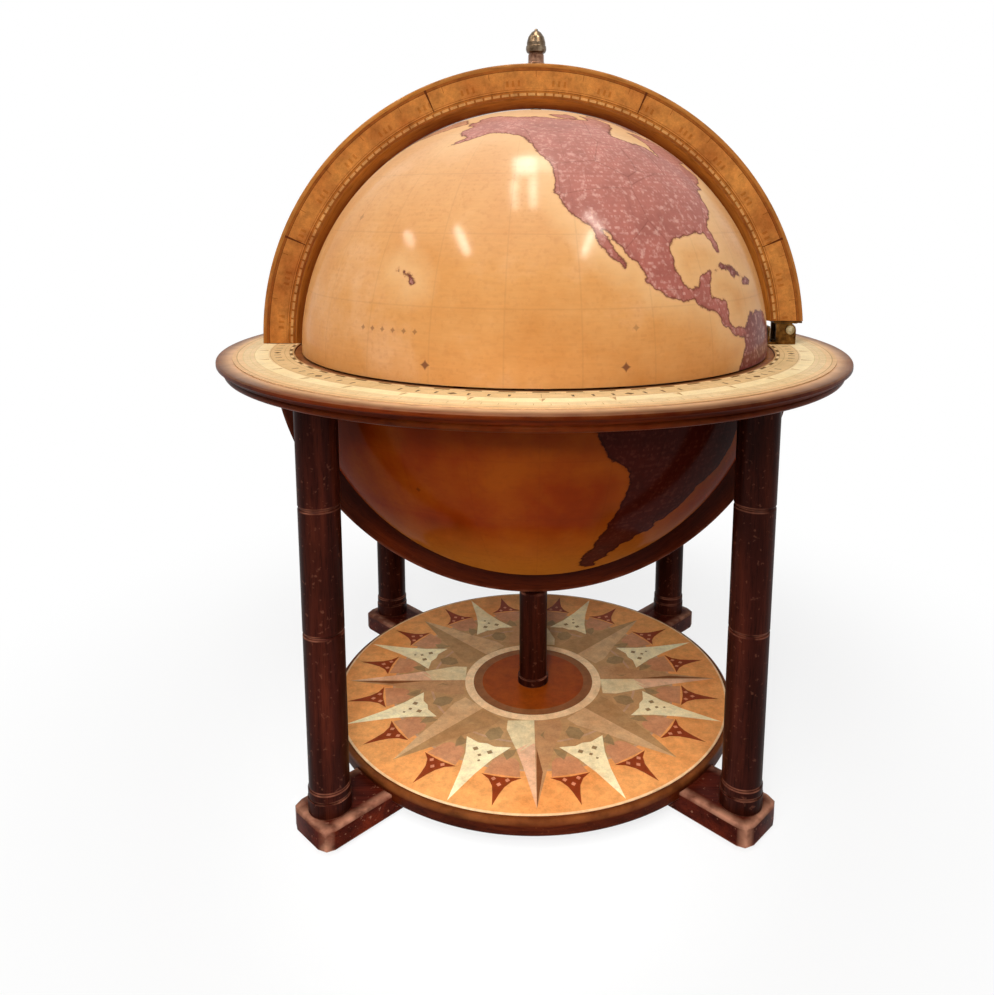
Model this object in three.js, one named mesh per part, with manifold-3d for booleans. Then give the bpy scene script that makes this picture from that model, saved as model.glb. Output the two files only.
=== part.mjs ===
// Floor globe bar: a globe on a four-legged stand whose upper half lifts to show a drinks deck.
// Units are millimetres with +Z up. The origin is on the floor under the middle of the globe.
// The front faces -Y, both meridians lie in the XZ plane and the lid's hinge is at +X.
import * as THREE from 'three';
import { mergeVertices } from 'three/addons/utils/BufferGeometryUtils.js';
import Module from 'manifold-3d';

const wasm = await Module();
wasm.setup();

// Fits that every joint in the cabinet shares
const seatGap = 0.3;
const boltClearance = 0.4;
const cutOverrun = 4;

// Facets
const roundSides = 40;
const turnedSides = 16;
const boltSides = 8;
const globeSteps = 9;
const arcSteps = 2;
const meridianSteps = 28;
const hexSides = 6;
const acornSteps = 7;
const poleBlockSides = 20;

// Globe
const globeRadius = 250;
const shellWall = 3;
const lidRimLift = 2.5;
const lidHoopWidth = 8;
const lidHoopHeight = 14;
const poleBlockSteps = 1;
const poleBlockDepth = 20;

// Bowl rim, resting in a rebate of the horizon ring
const bowlFlangeReach = 7;
const bowlFlangeThickness = 2.4;
const rebateClearance = 0.6;
const ringHoleClearance = 2.5;

// Base arms and floor glides
const armWidth = 60;
const armHeight = 23;
const armOverhang = 25.5;
const armCornerRadius = 12;
const armEdgeRound = 2;
const glideRadius = 15;
const glideHeight = 3;

// Legs
const legInset = 54.4;
const legHeight = 400;
const legRadius = 19;
const legPlinthRadius = 20.4;
const legPlinthHeight = 15;
const legCollarRadius = 19.9;
const legCollarHeight = 10;
const legEdgeRound = 1.5;
const legGrooveDepth = 1.2;
const legGrooveWidth = 3.4;
const lowerGrooveHeight = 180;
const upperGrooveHeight = 300;

// Horizon ring
const ringFaceWidth = 75.4;
const ringThickness = 16;
const ringPrintMargin = 15.7;
const ringLipHeight = 4.6;
const ringLipRound = 2;
const ringLipOverhang = 1.6;
const ringCoveRadius = 5;
const ringBeadRadius = 3.2;
const ringQuirk = 1.6;
const ringBeadTurn = 60;
const printThickness = 0.8;

// Shelf and post
const shelfLegGap = 27.2;
const shelfThickness = 18.3;
const shelfGrooveDepth = 9;
const shelfUpperRound = 2.5;
const shelfLowerRound = 4;
const shelfPrintMargin = 5;
const postRadius = 16.2;
const postFootRadius = 17.8;
const postFootHeight = 9;
const postEdgeRound = 1.5;

// Meridians
const meridianDepth = 21;
const upperMeridianGap = 2.5;
const upperMeridianWidth = 45.3;
const upperInnerChamfer = 9.5;
const upperInnerFlat = 7;
const lowerMeridianGap = 4;
const lowerMeridianWidth = 37;
const meridianBevel = 1.5;
const scaleThickness = 0.6;
const scaleMargin = 0.5;
const scaleOuterMargin = 4.6;

// Drinks deck and bottle floor
const deckDepth = 45;
const deckThickness = 15;
const deckEdgeRound = 2;
const wellCount = 3;
const wellRadiusShare = 0.19;
const wellCircleShare = 0.257;
const recessCount = 8;
const recessDepth = 10;
const recessRadiusShare = 0.153;
const recessCircleShare = 0.753;
const bottleFloorRise = 47;
const bottleFloorThickness = 10;

// Hinge
const pinInset = 23;
const pinHeight = 16.5;
const pinRadius = 3;
const pinHeadRadius = 5;
const pinHeadThickness = 2.2;
const hingeHeight = 26;
const hingeBaseThickness = 2.5;
const hingeInset = 9;
const upstandThickness = 2;
const upstandHeight = 20;
const upstandDepth = 16;
const cheekThickness = 3;
const cheekAlong = 15;
const eyeRadius = 7;
const tongueArmWidth = 8;
const tonguePlateThickness = 2;
const tonguePlateReach = 13.5;
const tonguePlateBack = 17.5;

// Screws, bolts and dowels
const boltRadius = 4;
const boltHeadRadius = 8;
const boltHeadThickness = 5;
const boltHeadSink = 1;
const legBoltGrip = 34;
const postBoltShare = 0.34;
const bowlBoltShare = 0.304;
const dowelRadius = 4.5;
const dowelInRing = 11;
const dowelInLeg = 26;
const dowelInMeridian = 22;
const woodScrewRadius = 2.2;
const woodScrewHeadRadius = 4.4;
const woodScrewHeadThickness = 3;
const shelfScrewInset = 81;
const shelfScrewGrip = 7;
const hingeScrewRadius = 1.7;
const hingeScrewHeadRadius = 3;
const hingeScrewHeadThickness = 1.3;
const hingeScrewGrip = 11;
const hingeScrewSpread = 3.8;
const hingeScrewInset = 7.5;
const tongueScrewReach = 9;
const tongueScrewGrip = 14;

// Pole pin and finial
const polePinRadius = 3;
const spinClearance = 0.5;
const poleSpacerRadius = 6;
const poleWasherRadius = 12;
const poleWasherThickness = 1.5;
const poleNutRadius = 6.2;
const poleNutThickness = 5;
const polePinTail = 3;
const finialHoleDepth = 8;
const finialNeckRadius = 8.4;
const finialNeckHeight = 11.6;
const finialFootRadius = 9.4;
const finialFootHeight = 1.6;
const acornRadius = 10.8;
const acornHeight = 24.6;
const acornFullness = 2.1;

// Bowl seat and its washer
const bowlSeatRadius = 18;
const bowlWasherRadius = 14;
const bowlWasherThickness = 2;

// Finishes: colour, roughness and metalness
const darkWood = [0x451a10, 0.32, 0];
const redWood = [0x5a2414, 0.3, 0];
const palePrint = [0xeecb90, 0.4, 0];
const rosePrint = [0xd08c4a, 0.4, 0];
const scalePrint = [0xb4702f, 0.38, 0];
const upperMap = [0xe0914b, 0.16, 0];
const lowerMap = [0x74350f, 0.14, 0];
const deckWood = [0x8a4c24, 0.4, 0];
const paleWood = [0xc49a6a, 0.6, 0];
const agedBrass = [0x7d6238, 0.35, 1];
const plainSteel = [0xa8a8a4, 0.35, 1];
const greyFelt = [0x4d4640, 0.95, 0];

// Reaches that follow outward from the globe to the ring, and inward from the legs to the shelf
const bowlFlangeRadius = globeRadius + bowlFlangeReach;
const rebateRadius = bowlFlangeRadius + rebateClearance;
const ringRadius = rebateRadius + ringFaceWidth;
const legDiagonal = ringRadius - legInset;
const shelfRadius = legDiagonal - legPlinthRadius - shelfLegGap;
const shelfScrewDistance = shelfRadius - shelfScrewInset;
const pinAlong = globeRadius + hingeInset + pinInset;

// Heights that follow from the stack of pieces on the floor
const armBottom = glideHeight + seatGap;
const armTop = armBottom + armHeight;
const legBottom = armTop + seatGap;
const ringBottom = legBottom + legHeight + seatGap;
const ringTop = ringBottom + ringThickness;
const equator = ringTop + seatGap + printThickness;
const shelfBottom = armTop + seatGap - shelfGrooveDepth;
const shelfTop = shelfBottom + shelfThickness;

// Heights below are measured from the globe's centre
const ringTopLevel = ringTop - equator;
const ringBottomLevel = ringBottom - equator;
const bowlRimLevel = ringTopLevel - seatGap;
const rebateDepth = bowlFlangeThickness + seatGap * 2;
const ringHoleRadius = globeRadius + ringHoleClearance;
const shellInside = globeRadius - shellWall;
const upperInside = globeRadius + upperMeridianGap;
const upperOutside = upperInside + upperMeridianWidth;
const lowerInside = globeRadius + lowerMeridianGap;
const lowerOutside = lowerInside + lowerMeridianWidth;
const deckTopLevel = -deckDepth;
const deckBottomLevel = deckTopLevel - deckThickness;
const lowerEndAlong = (lowerInside + lowerOutside) / 2;

// A closed mesh as a solid, its shared corners merged and its faces turned outward
function solidFrom(geometry) {
  const bare = geometry.clone();
  bare.deleteAttribute('normal');
  bare.deleteAttribute('uv');
  const merged = mergeVertices(bare);
  const corners = merged.attributes.position.array;
  const kept = [];
  let volume = 0;
  for (let i = 0; i < merged.index.count; i += 3) {
    const [a, b, c] = [0, 1, 2].map((step) => merged.index.getX(i + step));
    if (a === b || b === c || c === a) continue;
    kept.push([a, b, c]);
    const [p, q, r] = [a, b, c].map((at) => new THREE.Vector3().fromArray(corners, at * 3));
    volume += p.dot(q.cross(r));
  }
  const turned = volume < 0 ? kept.map(([a, b, c]) => [a, c, b]) : kept;
  return new wasm.Manifold(new wasm.Mesh({
    numProp: 3,
    vertProperties: new Float32Array(corners),
    triVerts: new Uint32Array(turned.flat()),
  }));
}

function geometryFrom(solid) {
  const mesh = solid.getMesh();
  const geometry = new THREE.BufferGeometry();
  geometry.setAttribute('position', new THREE.BufferAttribute(new Float32Array(mesh.vertProperties), 3));
  geometry.setIndex(new THREE.BufferAttribute(new Uint32Array(mesh.triVerts), 1));
  geometry.computeVertexNormals();
  return geometry;
}

const cut = (solid, cutters) => cutters.reduce((left, cutter) => left.subtract(cutter), solid);
const join = (solids) => solids.reduce((whole, solid) => whole.add(solid));

// A profile of [radius, height] pairs turned about the upright axis
function turned(profile, sides) {
  const points = profile.map(([radius, height]) => new THREE.Vector2(radius, height));
  return solidFrom(new THREE.LatheGeometry(points, sides).rotateX(Math.PI / 2));
}

// A ring's profile is closed on itself
const turnedRing = (profile, sides) => turned([...profile, profile[0]], sides);

// Points of a round corner, from one angle to another in degrees
function arc(centre, middle, radius, from, to, steps = arcSteps) {
  return Array.from({ length: steps + 1 }, (_, i) => {
    const angle = THREE.MathUtils.degToRad(from + (to - from) * i / steps);
    return [centre + radius * Math.cos(angle), middle + radius * Math.sin(angle)];
  });
}

// An upright round bar from one height to another
function bar(radius, bottom, top, sides, x = 0, y = 0) {
  const height = top - bottom;
  const geometry = new THREE.CylinderGeometry(radius, radius, height, sides).rotateX(Math.PI / 2);
  return solidFrom(geometry.translate(x, y, bottom + height / 2));
}

// A round bar that lies along Y, about a centre in the XZ plane
function crossBar(radius, front, back, sides, x, z) {
  const length = back - front;
  const geometry = new THREE.CylinderGeometry(radius, radius, length, sides);
  return solidFrom(geometry.translate(x, front + length / 2, z));
}

function block(xs, ys, zs) {
  const size = [xs, ys, zs].map(([low, high]) => high - low);
  const middle = [xs, ys, zs].map(([low, high]) => (low + high) / 2);
  return solidFrom(new THREE.BoxGeometry(...size).translate(...middle));
}

// A bolt or screw: a round head that hangs under level 0, and a shank that rises from it
function fastener(shank, shankLength, head, headThickness, sides = boltSides) {
  const profile = [
    [0, -headThickness], [head, -headThickness], [head, 0],
    [shank, 0], [shank, shankLength], [0, shankLength],
  ];
  return turned(profile, sides);
}

// The four corners of the stand
const corners = [['front_left', -1, -1], ['front_right', 1, -1], ['back_right', 1, 1], ['back_left', -1, 1]];
const atCorners = (make, distance) => corners.map(([, x, y]) => {
  const side = distance / Math.SQRT2;
  return make().translate([x * side, y * side, 0]);
});
const ends = [['left', -1], ['right', 1]];

// Pieces of the scene
const cabinet = new THREE.Group();
const stand = new THREE.Group();
const globe = new THREE.Group();
const lid = new THREE.Group();
globe.position.z = equator;
cabinet.add(stand, globe);
globe.add(lid);

function place(group, name, solid, [color, roughness, metalness], at = [0, 0, 0], turn = 0) {
  const material = new THREE.MeshStandardMaterial({ color, roughness, metalness });
  const mesh = new THREE.Mesh(geometryFrom(solid), material);
  mesh.name = name;
  mesh.position.set(...at);
  mesh.rotation.z = turn;
  group.add(mesh);
}

// The same piece at each corner of the stand, at a distance from its middle
function placeAtCorners(stem, make, finish, distance, height) {
  const side = distance / Math.SQRT2;
  for (const [corner, x, y] of corners) {
    place(stand, `${stem}_${corner}`, make(), finish, [x * side, y * side, height]);
  }
}

// Base: two long arms halved over each other
const armLength = (legDiagonal + armOverhang) * 2;
const counterboreDepth = boltHeadThickness + boltHeadSink;
const screwSinkDepth = woodScrewHeadThickness + boltHeadSink;

function armBlank() {
  const outline = new THREE.Shape();
  const [halfLength, halfWidth] = [armLength / 2, armWidth / 2];
  const [endX, endY] = [halfLength - armCornerRadius, halfWidth - armCornerRadius];
  const roundEnds = [[endX, -endY, -90], [endX, endY, 0], [-endX, endY, 90], [-endX, -endY, 180]];
  const points = roundEnds.flatMap(([x, y, from]) => arc(x, y, armCornerRadius, from, from + 90));
  outline.setFromPoints(points.map(([x, y]) => new THREE.Vector2(x, y)));
  const geometry = new THREE.ExtrudeGeometry(outline, {
    depth: armHeight - armEdgeRound * 2,
    bevelThickness: armEdgeRound,
    bevelSize: armEdgeRound,
    bevelOffset: -armEdgeRound,
    bevelSegments: 1,
  });
  return solidFrom(geometry.translate(0, 0, armEdgeRound));
}

function sunkHole(x, shank, head, sink) {
  const hole = bar(shank + boltClearance, -cutOverrun, armHeight + cutOverrun, boltSides, x);
  return hole.add(bar(head + boltClearance, -cutOverrun, sink, boltSides, x));
}

function baseArm(notchBottom, notchTop, centreHole) {
  const halfNotch = armWidth / 2 + seatGap;
  const halfCut = armWidth / 2 + cutOverrun;
  const notch = block([-halfNotch, halfNotch], [-halfCut, halfCut], [notchBottom, notchTop]);
  const holes = [-1, 1].flatMap((side) => [
    sunkHole(side * legDiagonal, boltRadius, boltHeadRadius, counterboreDepth),
    sunkHole(side * shelfScrewDistance, woodScrewRadius, woodScrewHeadRadius, screwSinkDepth),
  ]);
  return cut(armBlank(), [notch, ...holes, centreHole]);
}

const lapLevel = armHeight / 2;
const centreCounterbore = sunkHole(0, boltRadius, boltHeadRadius, counterboreDepth);
const centreClearance = bar(boltRadius + boltClearance, -cutOverrun, armHeight + cutOverrun, boltSides);
const armPlaces = [
  ['base_arm_under', lapLevel - seatGap / 2, armHeight + cutOverrun, centreCounterbore, Math.PI / 4],
  ['base_arm_over', -cutOverrun, lapLevel + seatGap / 2, centreClearance, -Math.PI / 4],
];
for (const [name, notchBottom, notchTop, hole, turn] of armPlaces) {
  place(stand, name, baseArm(notchBottom, notchTop, hole), redWood, [0, 0, armBottom], turn);
}

const glide = () => bar(glideRadius, 0, glideHeight, turnedSides);
placeAtCorners('floor_glide', glide, greyFelt, legDiagonal, 0);

// Legs: turned columns with a plinth, a collar and two grooves
const legHole = boltRadius + boltClearance;
const dowelHole = dowelRadius + boltClearance;
const legHoleDepth = legBoltGrip + seatGap;
const legDowelDepth = dowelInLeg + seatGap;

function grooveProfile(height) {
  const half = legGrooveWidth / 2;
  return [[legRadius, height - half], [legRadius - legGrooveDepth, height], [legRadius, height + half]];
}

function legSolid() {
  const collarTop = legPlinthHeight + legCollarHeight;
  return turned([
    [0, legHoleDepth], [legHole, legHoleDepth], [legHole, 0], [legPlinthRadius, 0],
    [legPlinthRadius, legPlinthHeight - legEdgeRound], [legPlinthRadius - legEdgeRound, legPlinthHeight],
    [legRadius, legPlinthHeight], [legCollarRadius, legPlinthHeight + legEdgeRound],
    [legCollarRadius, collarTop - legEdgeRound], [legRadius, collarTop],
    ...grooveProfile(lowerGrooveHeight),
    ...grooveProfile(upperGrooveHeight),
    [legRadius, legHeight], [dowelHole, legHeight],
    [dowelHole, legHeight - legDowelDepth], [0, legHeight - legDowelDepth],
  ], turnedSides);
}

placeAtCorners('leg', legSolid, darkWood, legDiagonal, legBottom);

const legBoltBottom = armBottom + counterboreDepth;
const legBoltLength = legBottom + legBoltGrip - legBoltBottom;
const legBolt = () => fastener(boltRadius, legBoltLength, boltHeadRadius, boltHeadThickness);
placeAtCorners('leg_bolt', legBolt, plainSteel, legDiagonal, legBoltBottom);

const legDowel = () => bar(dowelRadius, -seatGap - dowelInLeg, dowelInRing, boltSides);
placeAtCorners('leg_dowel', legDowel, paleWood, legDiagonal, ringBottom);

// Shelf, its printed compass rose and the fastenings from below
const shelfPrintRadius = shelfRadius - shelfPrintMargin;
const centreHoleRadius = boltRadius + boltClearance;

function shelfSolid() {
  const [top, bottom] = [shelfUpperRound, shelfLowerRound];
  const pilot = () => {
    const radius = woodScrewRadius + boltClearance;
    return bar(radius, -cutOverrun, shelfGrooveDepth + shelfScrewGrip + seatGap, boltSides);
  };
  const board = turnedRing([
    [centreHoleRadius, 0], ...arc(shelfRadius - bottom, bottom, bottom, -90, 0),
    ...arc(shelfRadius - top, shelfThickness - top, top, 0, 90),
    [centreHoleRadius, shelfThickness],
  ], roundSides);
  const halfGroove = armWidth / 2 + seatGap;
  const grooves = [-1, 1].map((side) => {
    const groove = block([-armLength, armLength], [-halfGroove, halfGroove], [-cutOverrun, shelfGrooveDepth]);
    return groove.rotate([0, 0, 45 * side]);
  });
  return cut(board, [...grooves, ...atCorners(pilot, shelfScrewDistance)]);
}

function flatRing(inner, outer, thickness, sides = roundSides) {
  return turnedRing([[inner, 0], [outer, 0], [outer, thickness], [inner, thickness]], sides);
}

place(stand, 'shelf_board', shelfSolid(), darkWood, [0, 0, shelfBottom]);
const rosePanel = flatRing(postFootRadius + seatGap, shelfPrintRadius, printThickness);
place(stand, 'shelf_rose_print', rosePanel, rosePrint, [0, 0, shelfTop + seatGap]);

const shelfScrewBottom = armBottom + screwSinkDepth;
const shelfScrewLength = shelfBottom + shelfGrooveDepth + shelfScrewGrip - shelfScrewBottom;
const shelfScrew = () => {
  return fastener(woodScrewRadius, shelfScrewLength, woodScrewHeadRadius, woodScrewHeadThickness);
};
placeAtCorners('shelf_screw', shelfScrew, plainSteel, shelfScrewDistance, shelfScrewBottom);

// Post between the shelf and the lower meridian
const postBottom = shelfTop + seatGap;
const postHeight = equator - lowerOutside - seatGap - postBottom;
const postBoltGrip = postHeight * postBoltShare;
const bowlBoltGrip = postHeight * bowlBoltShare;
const postBoltDepth = postBoltGrip + seatGap;
const bowlBoltDepth = bowlBoltGrip + seatGap;

function postSolid() {
  const footRound = postFootRadius - postEdgeRound;
  return turned([
    [0, postBoltDepth], [centreHoleRadius, postBoltDepth], [centreHoleRadius, 0], [postFootRadius, 0],
    ...arc(footRound, postFootHeight - postEdgeRound, postEdgeRound, 0, 90),
    [postRadius, postFootHeight], [postRadius, postHeight - postEdgeRound],
    [postRadius - postEdgeRound, postHeight], [centreHoleRadius, postHeight],
    [centreHoleRadius, postHeight - bowlBoltDepth], [0, postHeight - bowlBoltDepth],
  ], turnedSides);
}
place(stand, 'centre_post', postSolid(), darkWood, [0, 0, postBottom]);

const centreBoltLength = postBottom + postBoltGrip - legBoltBottom;
const centreBolt = fastener(boltRadius, centreBoltLength, boltHeadRadius, boltHeadThickness);
place(stand, 'post_bolt', centreBolt, plainSteel, [0, 0, legBoltBottom]);

// Horizon ring: a lip, a cove and a bead round its edge, a rebate for the bowl's rim and a printed face
const hingeScrewAlong = globeRadius + hingeInset + hingeScrewInset;
const hingeScrewPlaces = [
  ['front', hingeScrewAlong, -hingeScrewSpread],
  ['back', hingeScrewAlong, hingeScrewSpread],
  ['outer', pinAlong, 0],
];
const hingeScrewHole = hingeScrewRadius + boltClearance;
const hingeScrewHoles = () => hingeScrewPlaces.map(([, x, y]) => {
  return bar(hingeScrewHole, -hingeScrewGrip - seatGap, hingeBaseThickness + cutOverrun, boltSides, x, y);
});

function ringSolid() {
  const lipBottom = ringThickness - ringLipHeight;
  const coveOutside = ringRadius - ringLipOverhang;
  const coveBottom = lipBottom - ringCoveRadius;
  const beadMiddle = coveOutside - ringCoveRadius - ringBeadRadius;
  const board = turnedRing([
    [ringHoleRadius, 0],
    ...arc(beadMiddle, ringBeadRadius, ringBeadRadius, -90, ringBeadTurn),
    [coveOutside - ringCoveRadius - ringQuirk, coveBottom],
    ...arc(coveOutside, coveBottom, ringCoveRadius, 180, 90),
    [ringRadius, lipBottom],
    ...arc(ringRadius - ringLipRound, ringThickness - ringLipRound, ringLipRound, 0, 90),
    [rebateRadius, ringThickness], [rebateRadius, ringThickness - rebateDepth],
    [ringHoleRadius, ringThickness - rebateDepth],
  ], roundSides);
  const holeTop = dowelInRing + seatGap;
  const legSockets = atCorners(() => bar(dowelHole, -cutOverrun, holeTop, boltSides), legDiagonal);
  const meridianSockets = [-1, 1].map((side) => {
    return bar(dowelHole, -cutOverrun, holeTop, boltSides, side * lowerEndAlong);
  });
  const screwHoles = hingeScrewHoles().map((hole) => hole.translate([0, 0, ringThickness]));
  return cut(board, [...legSockets, ...meridianSockets, ...screwHoles]);
}

const ringPrintInner = rebateRadius + seatGap;
const ringPrintOuter = ringRadius - ringPrintMargin;
place(stand, 'horizon_ring', ringSolid(), redWood, [0, 0, ringBottom]);
const horizonPrint = cut(flatRing(ringPrintInner, ringPrintOuter, printThickness), hingeScrewHoles());
place(stand, 'horizon_print', horizonPrint, palePrint, [0, 0, ringTop + seatGap]);

// Faceted globe walls: the height that a cap rises over a flat disc, and the wall's inward sag
const facetAngle = Math.PI / 2 / globeSteps;
const facetSag = shellInside * (1 - Math.cos(facetAngle / 2));
const capRise = (reach) => reach * Math.tan(facetAngle / 2);
const inShell = (level) => Math.sqrt((shellInside - facetSag - seatGap) ** 2 - level ** 2);
const deckRadius = inShell(deckTopLevel);
const bottleFloorDepth = shellInside - bottleFloorRise;

function wallProfile(radius, rimLevel, holeRadius, side) {
  const start = Math.asin(rimLevel / radius);
  const stop = Math.acos(holeRadius / radius);
  return Array.from({ length: globeSteps + 1 }, (_, i) => {
    const angle = start + (stop - start) * i / globeSteps;
    return [radius * Math.cos(angle), side * radius * Math.sin(angle)];
  });
}

// Lower bowl: a hemisphere with a flange that hangs it in the ring
function bowlSolid() {
  const outer = wallProfile(globeRadius, bowlFlangeThickness - bowlRimLevel, centreHoleRadius, -1);
  const inner = wallProfile(shellInside, -bowlRimLevel, centreHoleRadius, -1);
  const flangeBottom = bowlRimLevel - bowlFlangeThickness;
  const flange = [[bowlFlangeRadius, flangeBottom], [bowlFlangeRadius, bowlRimLevel]];
  return turnedRing([...outer.reverse(), ...flange, ...inner], roundSides);
}
place(globe, 'lower_bowl', bowlSolid(), lowerMap);

// Meridians: a section of [radius, depth] corners swept round half a turn, its ends cut level
function halfRing(section, leftLevel, rightLevel) {
  const positions = [];
  for (let i = 0; i <= meridianSteps; i += 1) {
    for (const [radius, along] of section) {
      const from = Math.asin(rightLevel / radius);
      const to = Math.PI - Math.asin(leftLevel / radius);
      const angle = from + (to - from) * i / meridianSteps;
      positions.push(radius * Math.cos(angle), along, radius * Math.sin(angle));
    }
  }
  const count = section.length;
  const last = meridianSteps * count;
  const index = [];
  for (let i = 0; i < last; i += count) {
    for (let j = 0; j < count; j += 1) {
      const [a, b] = [i + j, i + (j + 1) % count];
      index.push(a, b, b + count, a, b + count, a + count);
    }
  }
  const flat = section.map(([radius, along]) => new THREE.Vector2(radius, along));
  for (const [a, b, c] of THREE.ShapeUtils.triangulateShape(flat, [])) {
    index.push(a, c, b, last + a, last + b, last + c);
  }
  const geometry = new THREE.BufferGeometry();
  geometry.setAttribute('position', new THREE.Float32BufferAttribute(positions, 3));
  geometry.setIndex(index);
  return solidFrom(geometry);
}

// A meridian's section: bevelled outside, and chamfered inside down to a flat of its own width
function meridianSection(inner, outer, chamfer, innerFlat) {
  const [half, flat] = [meridianDepth / 2, innerFlat / 2];
  const face = inner + chamfer;
  const rim = outer - meridianBevel;
  return [
    [face, -half], [rim, -half], [outer, meridianBevel - half],
    [outer, half - meridianBevel], [rim, half], [face, half],
    [inner, flat], [inner, -flat],
  ];
}

function lowerMeridian() {
  const endLevel = seatGap - ringBottomLevel;
  const innerFlat = meridianDepth - meridianBevel * 2;
  const section = meridianSection(lowerInside, lowerOutside, meridianBevel, innerFlat);
  const half = halfRing(section, endLevel, endLevel);
  const socketDepth = dowelInMeridian + seatGap;
  const sockets = [-1, 1].map((side) => {
    const top = endLevel + socketDepth;
    return bar(dowelHole, endLevel - cutOverrun, top, boltSides, side * lowerEndAlong);
  });
  const boltWay = bar(centreHoleRadius, lowerInside - cutOverrun, lowerOutside + cutOverrun, boltSides);
  return cut(half, [...sockets, boltWay]).rotate([180, 0, 0]);
}
place(globe, 'lower_meridian', lowerMeridian(), darkWood);

const meridianDowel = () => bar(dowelRadius, -seatGap - dowelInMeridian, dowelInRing, boltSides);
for (const [end, side] of ends) {
  const at = [side * lowerEndAlong, 0, ringBottomLevel];
  place(globe, `meridian_dowel_${end}`, meridianDowel(), paleWood, at);
}

// The bowl stands on a seat over the lower meridian, and one bolt runs on into the post
const meridianSag = (radius) => radius * (1 - Math.cos(Math.PI / 2 / meridianSteps));
const insideMeridian = (radius, reach) => Math.sqrt(radius ** 2 - reach ** 2) - meridianSag(radius);
const bowlSeatBottom = seatGap - insideMeridian(lowerInside, bowlSeatRadius);
const bowlSeatHeight = -globeRadius - seatGap - bowlSeatBottom;
const bowlSeat = flatRing(centreHoleRadius, bowlSeatRadius, bowlSeatHeight, turnedSides);
place(globe, 'bowl_seat', bowlSeat, darkWood, [0, 0, bowlSeatBottom]);

const bowlWasherBottom = -shellInside + capRise(bowlWasherRadius) + seatGap;
const bowlWasherTop = bowlWasherBottom + bowlWasherThickness;
const bowlWasher = flatRing(centreHoleRadius, bowlWasherRadius, bowlWasherThickness, turnedSides);
place(globe, 'bowl_washer', bowlWasher, plainSteel, [0, 0, bowlWasherBottom]);

const bowlBoltFoot = postBottom + postHeight - bowlBoltGrip - equator;
const bowlBoltLength = bowlWasherTop + seatGap - bowlBoltFoot;
const bowlBolt = fastener(boltRadius, bowlBoltLength, boltHeadRadius, boltHeadThickness);
place(globe, 'bowl_bolt', bowlBolt.rotate([180, 0, 0]), plainSteel, [0, 0, bowlWasherTop + seatGap]);

// Drinks deck: wells for bottles and recesses for glasses
const around = (count, circle, turnBy, make) => Array.from({ length: count }, (_, i) => {
  const angle = turnBy + Math.PI * 2 * i / count;
  return make(circle * Math.cos(angle), circle * Math.sin(angle));
});

function deckSolid() {
  const [top, bottom] = [deckTopLevel, deckBottomLevel];
  const [wellRadius, recessRadius] = [deckRadius * wellRadiusShare, deckRadius * recessRadiusShare];
  const blank = turned([
    [0, bottom], [inShell(bottom), bottom],
    [deckRadius, top - deckEdgeRound], [deckRadius - deckEdgeRound, top], [0, top],
  ], roundSides);
  const wells = around(wellCount, deckRadius * wellCircleShare, Math.PI / 2, (x, y) => {
    return bar(wellRadius, bottom - cutOverrun, top + cutOverrun, turnedSides, x, y);
  });
  const recesses = around(recessCount, deckRadius * recessCircleShare, Math.PI / recessCount, (x, y) => {
    return bar(recessRadius, top - recessDepth, top + cutOverrun, turnedSides, x, y);
  });
  return cut(blank, [...wells, ...recesses]);
}
place(globe, 'drinks_deck', deckSolid(), deckWood);

const bottleFloorBottom = -bottleFloorDepth - bottleFloorThickness;
const bottleFloor = turned([
  [0, bottleFloorBottom], [inShell(bottleFloorBottom), bottleFloorBottom],
  [inShell(bottleFloorDepth), -bottleFloorDepth], [0, -bottleFloorDepth],
], roundSides);
place(globe, 'bottle_floor', bottleFloor, deckWood);

// Hinge base: a plate with two cheeks that carry the pin, and an upstand on its inner end
const hingeBottom = seatGap;
const platformTop = hingeBottom + hingeBaseThickness;
const plateOffset = hingeHeight - tonguePlateThickness - pinHeight;
const cheekReach = plateOffset - seatGap;
const cheekBack = meridianDepth / 2;
const hingeInner = globeRadius + hingeInset;
const pinHole = pinRadius + boltClearance;

function cheek(front) {
  const left = pinAlong - cheekAlong;
  const top = pinHeight + cheekReach;
  const rounded = arc(pinAlong, pinHeight, cheekReach, 0, 90, arcSteps + 1);
  const points = [[left, hingeBottom], [pinAlong + cheekReach, hingeBottom], ...rounded, [left, top]];
  const outline = new THREE.Shape(points.map(([x, z]) => new THREE.Vector2(x, z)));
  const geometry = new THREE.ExtrudeGeometry(outline, { depth: cheekThickness, bevelEnabled: false });
  return solidFrom(geometry.rotateX(Math.PI / 2).translate(0, front + cheekThickness, 0));
}

function hingeBase() {
  const right = pinAlong + cheekReach;
  const floor = block([hingeInner, right], [-cheekBack, cheekBack], [hingeBottom, platformTop]);
  const upstand = block(
    [hingeInner, hingeInner + upstandThickness],
    [-upstandDepth / 2, upstandDepth / 2],
    [hingeBottom, upstandHeight],
  );
  const whole = join([floor, upstand, cheek(-cheekBack), cheek(cheekBack - cheekThickness)]);
  const pinWay = crossBar(pinHole, -cheekBack - cutOverrun, cheekBack + cutOverrun, turnedSides,
    pinAlong, pinHeight);
  return cut(whole, [pinWay, ...hingeScrewHoles()]);
}
place(globe, 'hinge_base', hingeBase(), agedBrass);

const hingeScrew = () => {
  const length = hingeScrewGrip + platformTop + seatGap;
  const solid = fastener(hingeScrewRadius, length, hingeScrewHeadRadius, hingeScrewHeadThickness);
  return solid.rotate([180, 0, 0]);
};
for (const [spot, x, y] of hingeScrewPlaces) {
  place(globe, `hinge_base_screw_${spot}`, hingeScrew(), agedBrass, [x, y, platformTop + seatGap]);
}

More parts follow.
